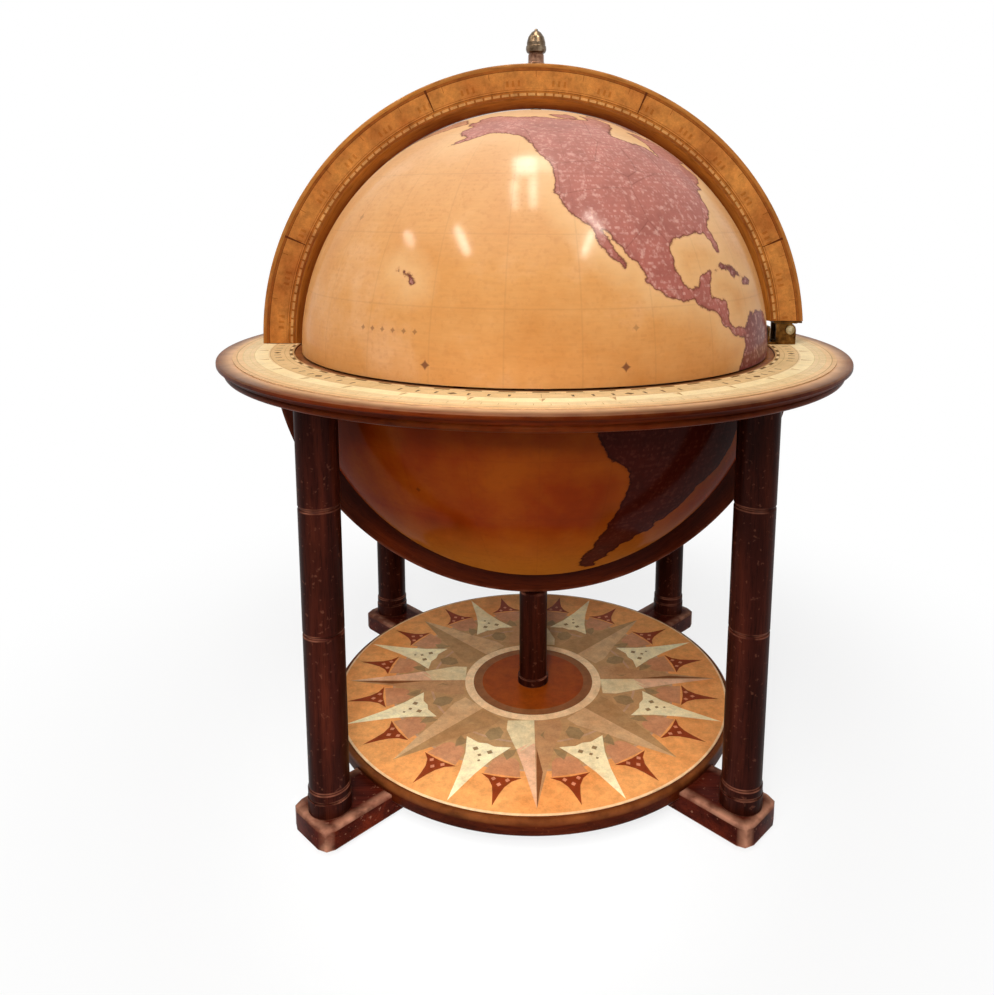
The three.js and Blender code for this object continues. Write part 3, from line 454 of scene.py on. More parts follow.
def mapLand(tree, look, patches, poleTintAndLightMask):
    # land tint by country group, uneven in patches, paler toward the pole: partly the map's polar tint, partly
    # painted light
    tint = addNode(tree, "Attribute", attribute_name="tint").outputs["Fac"]
    colour = addNode(tree, "ValToRGB", {"Fac": tint}, stops=look["lands"])
    share = addNode(tree, "Math", {0: poleTintAndLightMask, 1: 0.45}, operation="MULTIPLY")
    paled = addNode(tree, "Mix", {0: share, 6: colour, 7: look["mark"]}, data_type="RGBA").outputs[2]
    tone = addNode(tree, "MapRange", {
        "Value": patches, "From Min": 0.3, "From Max": 0.7, "To Min": 0.8, "To Max": 1.18})
    return addNode(tree, "Mix", {0: 1.0, 6: paled, 7: tone}, data_type="RGBA", blend_type="MULTIPLY").outputs[2]


def mapMarks(tree, look, place, split, patches):
    # place names as rows of short dashes 5.61 mm apart, and grains between; both drawn coarse so that they show
    rows = addNode(tree, "Math", {0: split["Y"], 1: quarter / 5.61}, operation="MULTIPLY")
    rowFold = addNode(tree, "Math", {0: rows, 1: 0.5}, operation="PINGPONG")
    inRow = addNode(tree, "MapRange", {"Value": rowFold, "From Min": 0.24, "From Max": 0.34})
    rowNumber = addNode(tree, "Math", {0: rows}, operation="FLOOR")
    along = addNode(tree, "Math", {0: split["X"], 1: equator / 3.415}, operation="MULTIPLY")
    spelled = addNode(tree, "CombineXYZ", {"X": along, "Y": rowNumber})
    dashes = addNode(tree, "TexNoise", {"Vector": spelled, "Scale": 0.9, "Detail": 2.0})
    dashMask = addNode(tree, "MapRange", {
        "Value": dashes, "From Min": 0.5, "From Max": 0.6, "To Max": look["landMarks"]})
    rowMask = addNode(tree, "Math", {0: dashMask, 1: inRow}, operation="MULTIPLY")
    written = addNode(tree, "MapRange", {"Value": patches, "From Min": 0.42, "From Max": 0.6})
    names = addNode(tree, "Math", {0: rowMask, 1: written}, operation="MULTIPLY")
    grains = addNode(tree, "TexNoise", {"Vector": place, "Scale": perSize(5.263), "Detail": 3.0})
    grainMask = addNode(tree, "MapRange", {
        "Value": grains, "From Min": 0.54, "From Max": 0.7, "To Max": look["landMarks"]})
    return addNode(tree, "Math", {0: names, 1: grainMask}, operation="MAXIMUM")


def degreeNet(tree, look, split, ground):
    # thin lines at every 15 degrees: a line is where the folded share of a cell is near 0
    lines = []
    for axis, cells in (("X", 24.0), ("Y", 6.0)):
        cell = addNode(tree, "Math", {0: split[axis], 1: cells}, operation="MULTIPLY")
        fold = addNode(tree, "Math", {0: cell, 1: 0.5}, operation="PINGPONG")
        lines.append(addNode(tree, "MapRange", {
            "Value": fold, "From Min": 0.016, "From Max": 0.016 / 3, "To Max": 0.08}))
    net = addNode(tree, "Math", {0: lines[0], 1: lines[1]}, operation="MAXIMUM")
    return addNode(tree, "Mix", {0: net, 6: ground, 7: look["ink"]}, data_type="RGBA").outputs[2]


def starMark(tree, look, split, ground, star):
    # a four-pointed star at degrees of longitude and latitude: |x|^0.75 + |y|^0.75 under a limit
    longitude, latitude, size, depth = star
    powers = []
    for axis, middle, reach in (("X", longitude / 360, size / equator), ("Y", latitude / 90, size / quarter)):
        off = addNode(tree, "Math", {0: split[axis], 1: middle}, operation="SUBTRACT")
        if axis == "X":
            off = addNode(tree, "Math", {0: off, 1: 0.5, 2: -0.5}, operation="WRAP")
        share = addNode(tree, "Math", {0: off, 1: reach}, operation="DIVIDE")
        span = addNode(tree, "Math", {0: share}, operation="ABSOLUTE")
        powers.append(addNode(tree, "Math", {0: span, 1: 0.75}, operation="POWER"))
    both = addNode(tree, "Math", {0: powers[0], 1: powers[1]}, operation="ADD")
    mask = addNode(tree, "MapRange", {"Value": both, "From Min": 1.15, "From Max": 0.8, "To Max": depth})
    return addNode(tree, "Mix", {0: mask, 6: ground, 7: look["ink"]}, data_type="RGBA").outputs[2]


def mapMaterial(name, look):
    # a lithographed map in paper gores under gloss varnish: inked coast, tinted land, pale sea, fine net of degrees
    material, tree, shader = startMaterial(name, **{
        "Coat Weight": look["varnish"], "Coat Roughness": 0.14, "IOR": 1.5, "Roughness": 0.5,
        "Specular IOR Level": look["sheen"],
    })
    coords = addNode(tree, "TexCoord").outputs
    place = coords["Object"]
    split = addNode(tree, "SeparateXYZ", {0: coords["UV"]}).outputs
    coast = addNode(tree, "Attribute", attribute_name="coast").outputs["Fac"]
    ragged = addNode(tree, "TexNoise", {"Vector": place, "Scale": perSize(10.53), "Detail": 5.0, "Roughness": 0.65})
    shift = addNode(tree, "MapRange", {  # millimetres in and out
        "Value": ragged, "To Min": -5.5, "To Max": 5.5})
    shore = addNode(tree, "Math", {0: coast, 1: shift}, operation="ADD")
    landMask = addNode(tree, "MapRange", {"Value": shore, "From Min": -0.3, "From Max": 0.3})
    # the paling toward the pole: partly the map's polar tint, partly painted light on the globe's top and the bowl's
    # bottom
    poleward = addNode(tree, "Math", {0: split["Y"]}, operation="ABSOLUTE")
    poleTintAndLightMask = addNode(tree, "MapRange", {
        "Value": poleward, "From Min": look["poleFrom"], "From Max": look["poleFull"],
        "To Max": look["poleTintAndLightShare"]})
    patches = addNode(tree, "TexNoise", {"Vector": place, "Scale": perSize(33.3), "Detail": 6.0, "Roughness": 0.7})
    sea = mapSea(tree, look, coords, poleTintAndLightMask)
    land = mapLand(tree, look, patches, poleTintAndLightMask)
    marks = mapMarks(tree, look, place, split, patches)
    named = addNode(tree, "Mix", {0: marks, 6: land, 7: look["mark"]}, data_type="RGBA").outputs[2]
    regions = addNode(tree, "TexVoronoi", {"Vector": place, "Scale": perSize(58.8)}, feature="DISTANCE_TO_EDGE")
    borders = addNode(tree, "MapRange", {"Value": regions, "From Min": 0.012, "From Max": 0.0, "To Max": 0.35})
    landDrawn = addNode(tree, "Mix", {0: borders, 6: named, 7: look["ink"]}, data_type="RGBA").outputs[2]
    soundings = addNode(tree, "Math", {0: marks, 1: look["seaMarks"]}, operation="MULTIPLY")
    sounded = addNode(tree, "Mix", {0: soundings, 6: sea, 7: look["seaInk"]}, data_type="RGBA").outputs[2]
    shallow = addNode(tree, "MapRange", {
        "Value": shore, "From Min": -26.0, "From Max": -2.0, "To Max": look["shallowShare"]})
    seaDrawn = addNode(tree, "Mix", {0: shallow, 6: sounded, 7: look["shallow"]}, data_type="RGBA").outputs[2]
    ground = addNode(tree, "Mix", {0: landMask, 6: seaDrawn, 7: landDrawn}, data_type="RGBA").outputs[2]
    away = addNode(tree, "Math", {0: shore}, operation="ABSOLUTE")
    coastInk = addNode(tree, "MapRange", {"Value": away, "From Min": 1.1, "From Max": 0.3, "To Max": 0.75})
    coastWash = addNode(tree, "MapRange", {"Value": away, "From Min": 2.5, "From Max": 0.5, "To Max": look["wash"]})
    washed = addNode(tree, "Mix", {0: coastWash, 6: ground, 7: look["washTint"]},
                     data_type="RGBA", blend_type="MULTIPLY").outputs[2]
    drawn = addNode(tree, "Mix", {0: coastInk, 6: washed, 7: look["ink"]}, data_type="RGBA").outputs[2]
    drawn = degreeNet(tree, look, split, drawn)
    for star in look["stars"]:
        drawn = starMark(tree, look, split, drawn, star)
    ripple = addNode(tree, "TexNoise", {"Vector": place, "Scale": perSize(14.3), "Detail": 2.0})
    bump = addNode(tree, "Bump", {"Height": ripple, "Strength": 0.06, "Distance": 0.6 * mm})
    setInputs(tree, shader, {"Base Color": drawn, "Normal": bump, "Coat Normal": bump})
    return material


upperLook = {  # a star is longitude, latitude, size in millimetres, and depth of its ink
    "sea": "#DA9A58", "seaDark": "#D18C48", "seaLight": "#E4AC78", "ink": "#5E2A20", "mark": "#E2B0A0",
    "landMarks": 0.55, "wash": 0.3, "washTint": "#C98A6A", "varnish": 0.2, "sheen": 0.04,
    # pole: partly the map's pale polar tint, partly painted light on the top of the globe
    "pole": "#EFC59C", "poleTintAndLightShare": 0.8, "poleFrom": 0.25, "poleFull": 0.85, "seaMarks": 0.3, "seaInk": "#B06836",
    "shallow": "#F0C48E", "shallowShare": 0.5,
    "lands": [(0.0, "#A85F52"), (0.25, "#7E3C33"), (0.45, "#B9793F"), (0.62, "#A98A4E"), (0.8, "#B56A42"),
              (1.0, "#D9A878")],
    "stars": [(-150.7, 3.8, 4.6, 0.8), (-111.4, 3.8, 4.6, 0.8), (-109.0, 11.2, 3.4, 0.35), (-180.0, 33.5, 4.6, 0.3)]
    + [(degree, 10.0, 2.8, 0.5) for degree in (-166.7, -164.0, -161.3, -158.6, -155.9, -153.3)],
}
# painted shade: the lower map's sea, land and marks are darkened as if in the ring's shadow
lowerPaintedShadeLook = {
    "sea": "#6C2404", "seaDark": "#581B02", "seaLight": "#7A3608", "ink": "#1E0804", "mark": "#54281C",
    "landMarks": 0.35, "wash": 0.3, "washTint": "#8A5A40", "varnish": 0.06, "sheen": 0.0,
    # pole: painted light where the shelf lights the bowl's bottom, partly the map's pale polar tint
    "pole": "#A4621E", "poleTintAndLightShare": 1.0, "poleFrom": 0.36, "poleFull": 0.7, "seaMarks": 0.4, "seaInk": "#4E2006",
    "shallow": "#8E4A12", "shallowShare": 0.3,
    "lands": [(0.0, "#561C10"), (0.25, "#340C05"), (0.45, "#5A2C10"), (0.62, "#5A3A18"), (0.8, "#5E2C12"),
              (1.0, "#A06434")],
    "stars": [(-118.0, -24.0, 3.4, 0.5), (-30.0, -30.0, 3.4, 0.5), (80.0, -30.0, 3.4, 0.5)],
}
upperMap = mapMaterial("upperMapVarnish", upperLook)
lowerPaintedShadeMap = mapMaterial("lowerMapVarnishPaintedShade", lowerPaintedShadeLook)
print("materials made")


# the world's coasts, as longitude and latitude in degrees

coasts = {
    "northAmerica": (0.0, """-168,66 -162,67 -166,68.5 -156,71 -141,69.5 -128,70 -115,68.5 -96,68 -94,72 -85,69.5
        -82,67 -87,64 -94,61 -94.5,58.8 -90,57 -82,55 -80,51.3 -79,54 -77,57 -78,62 -72,61.5 -69.5,59 -65,60
        -62,57.5 -57,54.5 -56,52 -60,50.2 -66,50 -65,48 -61,46 -66,43.7 -70.5,43 -70,41.7 -74,40.6 -75.5,38
        -76,35.2 -79,33.3 -81.3,31.5 -80.2,27 -80.5,25.3 -81.8,26 -82.8,28 -84,30 -88,30.3 -91.5,29.4 -94.5,29.5
        -97.3,27.5 -97.8,22.3 -96,19.2 -94.5,18.2 -91.8,18.6 -90.3,21 -87,21.5 -88.3,17.5 -88.8,16 -83.3,15
        -83.6,11 -82,9 -79.6,9.5 -77.6,8.6 -77.8,7.4 -80.3,7.5 -82.5,8.3 -84,9.8 -85.7,10 -87.7,13.2 -91.5,14
        -94,16.1 -96.5,15.7 -99.8,16.8 -103.5,18.3 -105.5,20.3 -105.4,22 -108.5,25.3 -110.5,27.8 -112.6,30.5
        -114.6,31.6 -112.6,28.2 -111,25.8 -109.5,23.2 -110.2,22.9 -112.2,25 -115,27.8 -116,30.3 -117.2,32.6
        -120.6,34.6 -122.5,37.5 -124.2,40.3 -124,46.3 -124.6,48.3 -127.5,51 -130,54.3 -133.5,57.5 -138,59
        -144,60 -148,60 -151.8,59.2 -154,58 -158,56 -163.5,54.6 -158,58.2 -162,58.7 -165,61 -161,64 -166,64.6"""),
    "greenland": (1.0, """-45,60 -52,65 -54,69 -55,71.5 -60,75.8 -70,76.5 -66,80.5 -50,82.3 -33,83.5 -12,81.5
        -19,78 -20,74.5 -26,68.8 -36,65.9 -41,63.5 -43,60.3"""),
    "baffin": (0.0, "-65,62 -72,64 -73.5,68 -80,70 -88,72 -81,73.7 -72,71 -66,67 -62,66"),
    "ellesmere": (0.0, "-78,76.5 -90,77 -92,80.5 -75,83 -62,82.5 -72,79"),
    "victoria": (0.0, "-105,69 -117,70 -118,72.5 -105,73 -101,70"),
    "newfoundland": (0.0, "-59,47.6 -53,46.8 -53,48.5 -56,51.5 -58.5,49"),
    "cuba": (0.25, "-84.8,22 -82,23.2 -77,22 -74.2,20.2 -77.6,19.9 -80,21.7"),
    "hispaniola": (0.25, "-74.3,18.4 -73,19.9 -68.5,18.5 -71.5,17.7"),
    "iceland": (1.0, "-22,64 -24,65.7 -16,66.5 -13.8,65 -18.5,63.4"),
    "southAmerica": (0.25, """-77.8,7.4 -77.4,4 -80,0.5 -81,-2 -81.3,-5 -79.6,-7.5 -76.2,-14 -72,-17 -70.3,-18.4
        -70.2,-22 -71.5,-30 -73.4,-37 -73.9,-41.5 -75.5,-46.5 -75,-50.5 -73,-53 -70,-55 -66,-55 -68.4,-52.4
        -69,-50.5 -65.8,-47.8 -67.5,-46 -65.3,-44.5 -65,-42 -62.3,-40.8 -62,-39 -57.6,-38 -56.7,-36.5 -58.4,-34.2
        -54.9,-34.9 -50.5,-30.5 -48.6,-28 -48.5,-25.8 -42,-22.9 -39.2,-17.8 -38.9,-13.5 -34.9,-8 -35.3,-5.3
        -39,-3 -44,-2.7 -48.5,-0.8 -51.6,4.2 -58.5,7.5 -62,10.7 -70,12 -71.8,10.8 -72,12.2 -74.8,11 -76.2,9
        -77.6,8.6"""),
    "africa": (0.8, """-6,35.8 -10,31.5 -13,27.7 -17,21 -17.5,14.7 -16.7,12.3 -13.3,9 -9,5 -2,4.8 4.5,6.3 6,4.3
        9.5,4 9.3,0 13.4,-9 11.8,-17 14.5,-22.5 15.2,-27 18.2,-32 18.4,-34.3 20,-34.8 25.7,-34 32.5,-28.5 32.8,-25.8
        35.5,-24 34.8,-20 40.7,-15 40.4,-10.5 39.2,-7 41.6,-1.7 49,7 51.2,11.8 44.5,10.5 39.5,15.3 37,22 34,26.5
        32.5,29.9 32.3,31.3 25,31.6 19.5,30.4 15.3,32.3 11,33.2 11,37 5,36.8 -1,35.7"""),
    "eurasia": (0.45, """-9,37 -9.5,38.7 -8.8,43.2 -1.8,43.4 -1.2,45.5 -4.7,48.4 -1.5,48.7 1.7,50.9 8.2,53.6 8.2,57
        10.6,57.6 10.8,54.2 19,54.5 21,57 24,57.3 23.5,59.2 29,60 21.5,61 25,65 22,65.8 17.3,61.5 16.5,57 14.2,55.5
        11,59 7,58 5,60.5 14,68 20,70 26,71 40,67.5 34,66 38,64 44,68.5 54,68.4 68,69 67,72 73,72 73,68 78,72.3
        98,76.3 104,77.7 113,74 127,73 140,72.5 160,69.7 180,69 190,66 179.5,62.5 170.5,60 163,58 157,51 156,57
        163,61.5 155,59.3 143,59.3 135.5,54.8 141,53 140,48.5 135.5,44.5 132,43 127.5,39.5 129.4,36.5 129,35.2
        126.4,34.4 125,38 124,40 121,39 118,39 122.3,37 119.5,35 121.8,31.5 121.5,28.5 118,24.5 110,21 108,21.5
        108.8,15.5 109.2,12 106.7,10.3 105,8.8 100.5,13.5 99.3,10 104,1.4 101.3,2.9 98.3,8 98.5,13 94.3,16 92,21
        87,21.5 80.3,15.5 80,12 77.5,8.1 73,17 72.7,21 67,24.8 61.5,25.1 57,26.8 50.5,30 48,30 50,26.5 54,24.1
        56.3,26 59.8,22.5 55.2,17.3 45,12.8 43.2,13 42.5,16.7 39,21.2 35,28 32.6,29.9 34.3,31.2 36,36.8 27.5,36.8
        26.5,39.3 29,41 35,42 41.5,41.6 37,45 33.5,44.5 31,46.6 28,42 23,40.4 22.8,36.5 19.4,41.5 14,45.2 12.4,45.3
        18.4,40 16,38 12.3,41.8 10,44 4,43.5 0,39.8 -2,36.8 -5.5,36.1"""),
    "britain": (1.0, "-5.5,50.1 -3,53.3 -5,54.8 -5.5,58 -2,57.5 -1.5,55 1.6,52.6 1,51.2"),
    "ireland": (1.0, "-10,52 -9.8,54 -7,55.3 -6,53.5 -6.5,52.2"),
    "novayaZemlya": (0.45, "52,71 56,74 68,77 58,71"),
    "honshu": (0.62, "131,34 136,36 140,40 141.5,41.3 141.8,39 140.8,35.8 135.8,33.5 130.5,31.5"),
    "hokkaido": (0.62, "140,42 141.8,45.4 145,43.3 143,42"),
    "sakhalin": (0.45, "142,46 142,54 143.5,50"),
    "luzon": (0.62, "120.4,16 121,18.5 122.2,18 121.5,15 124,12.8 120.8,14"),
    "mindanao": (0.62, "122,7 126.3,9 125.5,6"),
    "borneo": (0.8, "109,1 110,-3 114.5,-4 118,1 119,5 117,7 113.5,3.5"),
    "sumatra": (0.8, "95.3,5.6 104,-1 106,-5.8 104,-5.8 100.5,-1.5"),
    "java": (0.8, "105.2,-6.8 110.5,-6.5 114.5,-7.8 114.5,-8.7 108,-7.8"),
    "sulawesi": (0.8, "119.5,-5.5 119,-3 120,1 125,1.5 121,0 123,-4.5 121,-3"),
    "newGuinea": (0.8, "131,-1 137.8,-1.5 147.5,-6 150.5,-10.5 147,-9.5 143,-9 138,-8 133,-4"),
    "australia": (0.62, """114,-22 113.5,-26 115,-31 115,-34.3 118,-35 123.5,-34 129,-31.6 134,-32.8 138,-35.6
        140.5,-38 146.5,-39 150,-37.5 151,-34 153.5,-28.5 153,-25 146,-18.8 145.3,-15 142.5,-10.8 141.5,-14
        140,-17.6 136,-15.5 136.8,-12.2 132.5,-11.5 129,-15 126.5,-14 122.3,-17.5 117,-20.7"""),
    "tasmania": (0.62, "144.8,-41 148.3,-41 147,-43.6"),
    "northIsland": (0.62, "173,-34.5 178.5,-37.7 175.3,-41.6 174,-39.3 174.7,-37"),
    "southIsland": (0.62, "172.7,-40.6 174.2,-41.8 169,-46.6 166.5,-46 170.5,-43"),
    "madagascar": (0.8, "49.3,-12 50.4,-15.5 47,-25 43.8,-23.5 44.3,-17"),
    "ceylon": (0.62, "80,9.7 81.8,7.3 80.6,6"),
    "hawaii": (0.25, "-156,19 -154.8,19.5 -155.8,20.4"),
    "maui": (0.25, "-157,20.6 -156,20.8 -156.8,21.3"),
    "oahu": (0.25, "-158.3,21.3 -157.7,21.4 -158.1,21.9"),
    "kauai": (0.25, "-160,22 -159.3,22 -159.6,22.5"),
    "antarctica": (1.0, """-180,-78 -160,-77 -145,-75.5 -120,-74 -100,-72.5 -80,-73 -68,-69 -60,-63.5 -62,-67
        -61,-74 -40,-78 -28,-76 -10,-71 10,-70 30,-69 50,-66.5 70,-68.5 90,-66.5 110,-66 135,-66 150,-68.5
        170,-71.5 165,-77.5 180,-78 180,-90 -180,-90"""),
}


def landField(longitude, latitude):
    # signed distance to the nearest coast in millimetres on the globe, above 0 on land, and that land's tint
    east, north = np.radians(longitude), np.radians(latitude)
    points = np.stack([np.cos(north) * np.cos(east), np.cos(north) * np.sin(east), np.sin(north)], -1)
    far = 9.0  # more than any way between two points of a ball of radius 1
    nearest = np.full(longitude.shape, far)
    tint = np.zeros(longitude.shape)
    inside = np.zeros(longitude.shape, bool)
    for landTint, text in coasts.values():
        outline = np.array([pair.split(",") for pair in text.split()], float)
        after = np.roll(outline, -1, axis=0)
        e, n = np.radians(outline[:, 0]), np.radians(outline[:, 1])
        corners = np.stack([np.cos(n) * np.cos(e), np.cos(n) * np.sin(e), np.sin(n)], -1)
        closest = np.full(longitude.shape, far)
        for a, b in zip(corners, np.roll(corners, -1, axis=0)):
            run = b - a
            t = np.clip(((points - a) @ run) / max(run @ run, 1e-12), 0, 1)
            gap = points - a - t[..., None] * run
            closest = np.minimum(closest, np.sqrt((gap ** 2).sum(-1)))
        crossed = np.zeros(longitude.shape, bool)
        for wrap in (-360, 0, 360):
            odd = np.zeros(longitude.shape, bool)
            for (x0, y0), (x1, y1) in zip(outline, after):
                if y0 != y1:
                    spans = (latitude > y0) != (latitude > y1)
                    odd ^= spans & (longitude + wrap < x0 + (latitude - y0) * (x1 - x0) / (y1 - y0))
            crossed |= odd
        tint = np.where(closest < nearest, landTint, tint)
        nearest = np.minimum(nearest, closest)
        inside |= crossed
    distance = nearest * globe["radius"] / mm
    return np.where(inside, distance, -distance), tint


shell = {"outerRows": 116, "innerRows": 36, "turns": 480, "inland": -60.0}
upperBall = {"rim": 0.4, "hole": 3.5, "facing": -128.0}  # facing is the longitude that looks to the front
lowerBall = {"rim": 3.8, "hole": 4.4, "facing": -90.0, "flange": 7.0, "flangeThick": 2.4}


def globeShell(name, half, ball, material):
    # half a hollow ball: outer sphere from pole to rim, the rim or its flange, inner sphere back to the pole
    # a point at angle v over the rim's plane and turn u is radius * (cos v cos u, cos v sin u, half sin v)
    radius, wall = globe["radius"], globe["wall"]
    inside, rim, hole = radius - wall, ball["rim"] * mm, ball["hole"] * mm
    outer = np.linspace(np.arccos(hole / radius), np.arcsin(rim / radius), shell["outerRows"])
    inner = np.linspace(np.arcsin(rim / inside), np.arccos(hole / inside), shell["innerRows"])
    outerArc = radius * np.column_stack([np.cos(outer), np.sin(outer)])
    innerArc = inside * np.column_stack([np.cos(inner), np.sin(inner)])
    edge = np.empty((0, 2))
    if "flange" in ball:
        out, low = radius + ball["flange"] * mm, rim - ball["flangeThick"] * mm
        outerArc[-1], innerArc[0] = [radius, rim], [inside, low]
        edge = np.array([[out, rim], [out, low]])
    profile = np.vstack([outerArc, edge, innerArc])
    turns = shell["turns"]
    angle = np.arange(turns) * full / turns
    across, up = profile.T
    points = np.stack([
        across[:, None] * np.cos(angle), across[:, None] * np.sin(angle),
        globe["centre"] + half * np.repeat(up[:, None], turns, 1),
    ], axis=-1)
    latitude = half * np.degrees(np.arcsin(np.clip(up / radius, -1, 1)))
    longitude = ball["facing"] + 90 + np.degrees(angle)
    lonGrid, latGrid = np.meshgrid((longitude + 180) % 360 - 180, latitude[:len(outer)])
    coast = np.full((len(profile), turns), shell["inland"])
    tint = np.zeros((len(profile), turns))
    coast[:len(outer)], tint[:len(outer)] = landField(lonGrid, latGrid)
    uvAround = (ball["facing"] + 90 + np.degrees(np.linspace(0, full, turns + 1))) / 360
    uvUp = np.append(latitude, latitude[0]) / 90
    uv = np.stack(np.meshgrid(uvAround, uvUp), axis=-1)
    mesh = gridMesh(name, points, True, True, uv, {"coast": coast, "tint": tint})
    piece = finishMesh(name, mesh, material, 50)
    mesh.materials.append(pulpBoard)
    mesh.materials.append(deckWood)
    away = np.linalg.norm(faceMiddles(mesh) - [0, 0, globe["centre"]], axis=1)
    faceKind = (away < radius - wall / 2) + 2 * (away > radius + 0.4 * mm)  # 1 is the inside, 2 the flange
    mesh.polygons.foreach_set("material_index", faceKind.astype(np.int32))
    return piece


upperGlobe = globeShell("upperGlobe", 1, upperBall, upperMap)
stand(upperGlobe, "globe_cap", "upper_map_board", "upper_hemisphere")
# the lower globe's map carries painted shade, darker as if under the ring
lowerGlobe = globeShell("lowerGlobe", -1, lowerBall, lowerPaintedShadeMap)
stand(lowerGlobe, "stand", "lower_map_board", "lower_bowl")
print("globe made")


# flat prints: areas cut by their outlines and inked area by area; all outlines are in millimetres

def ringLine(radius, count=360):
    # points on a circle: radius * (cos u, sin u)
    angle = np.arange(count) * full / count
    return np.stack([np.cos(angle), np.sin(angle)], -1) * radius


def spunShape(shape, count, first=0.0):
    # a shape drawn along +X as (out, side) points, repeated round the middle
    out, side = np.array(shape, float).T
    turns = first + np.arange(count) * full / count
    return [np.stack([out * np.cos(turn) - side * np.sin(turn), out * np.sin(turn) + side * np.cos(turn)], -1)
            for turn in turns]


def bothSides(side):
    # an outline from its one side, mirrored over the line that it points along
    return side + [(out, -across) for out, across in reversed(side) if across]


def bar(low, high, half, halfHigh=None):
    # a bar or wedge from one radius to another, with its half width at each
    top = half if halfHigh is None else halfHigh
    return [(low, -half), (high, -top), (high, top), (low, half)]


def diamond(out, across, length, width):
    return [(out + length, across), (out, across + width), (out - length, across), (out, across - width)]


def circlesOf(look, bands, count=720):
    # the circles that part a print's bands, from its inner edge to its outer one
    limits = {limit for band in bands for limit in band[:2] if look["inner"] < limit < look["outer"]}
    return [ringLine(radius, count) for radius in sorted({look["inner"], look["outer"]} | limits)]


def insideShape(x, y, shape):
    # even-odd test of many points against one outline
    odd = np.zeros(x.shape, bool)
    for (x0, y0), (x1, y1) in zip(shape, np.roll(shape, -1, axis=0)):
        if y0 != y1:
            odd ^= ((y > y0) != (y > y1)) & (x < x0 + (y - y0) * (x1 - x0) / (y1 - y0))
    return odd


def paintBands(inks, x, y, bands):
    # each band, as two radii and an ink, over the ones before it
    radius = np.hypot(x, y)
    for low, high, ink in bands:
        inks[(radius > low) & (radius < high)] = ink


def paintShapes(inks, x, y, groups):
    # each group, as outlines and an ink, over the ones before it
    for shapes, ink in groups:
        for shape in shapes:
            inks[insideShape(x, y, shape)] = ink


def layFlat(node):
    # a horizontal print fills its node's height: what puts its points there, and its thickness
    low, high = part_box(node)
    return lambda flat: np.column_stack([flat, np.full(len(flat), high.z)]), high.z - low.z


def flatPrint(name, outlines, look, inkAt, keepAt, upright, thickness, material):
    # the plane is cut along every outline, each area takes one ink, and the sheet gets its thickness
    # inkAt and keepAt answer for the areas' middles, and upright puts the plane's points into the room
    points, edges, start = [], [], 0
    for outline in outlines:
        count = len(outline)
        points += (outline * mm).tolist()
        edges += [(start + i, start + (i + 1) % count) for i in range(count)]
        start += count
    flat, _, faces, _, _, _ = delaunay_2d_cdt(points, edges, [], 0, 1e-7)
    flat, faces = np.array(flat), np.array(faces)
    middle = flat[faces].mean(axis=1) / mm
    kept = keepAt(*middle.T)
    used, faces = np.unique(faces[kept], return_inverse=True)
    flat, faces, middle = flat[used], faces.reshape(-1, 3), middle[kept]
    inks = np.full(len(middle), "ground", "U16")
    inkAt(inks, *middle.T)
    names, rows = np.unique(inks, return_inverse=True)
    colours = np.array([toLinear(look[ink]) for ink in names])[rows]
    mesh = bpy.data.meshes.new(name)
    mesh.from_pydata(upright(flat).tolist(), [], faces.tolist())
    layer = mesh.color_attributes.new("ink", "FLOAT_COLOR", "CORNER")
    layer.data.foreach_set("color", np.repeat(colours, 3, axis=0).reshape(-1).astype(np.float32))
    mesh.materials.append(material)
    piece = newObject(name, mesh)
    sheet = piece.modifiers.new("sheetThickness", "SOLIDIFY")
    sheet.thickness, sheet.offset = thickness, -1
    return piece


rose = {
    "inner": 18.1, "outer": 226.0, "slack": 0.01, "root": 80.5, "shadeOut": 128.0,
    "ground": "#F0A660", "creamInk": "#FFF0C0", "creamShade": "#EED8A8", "pink": "#EEBE98", "taupeInk": "#C49866",
    "brown": "#C49466", "red": "#8E3A18", "pad": "#D09268", "discInk": "#94420C", "discRim": "#8E5A34",
    "paleLine": "#F6CFA0", "faintPale": "#DAB080", "faintDark": "#B88E5E", "sliver": "#84502E",
    "sandRing": "#C9A07C", "olive": "#A2845A", "ringInk": "#FCD8A8", "hollow": "#D9906A",
    "under": [(0, 162, "taupeInk"), (162, 165, "sandRing"), (118, 121, "sandRing")],
    "over": [(0, 60, "discInk"), (60, 70.5, "discRim"), (70.5, 80.5, "ringInk"), (223.8, 227, "paleLine")],
}


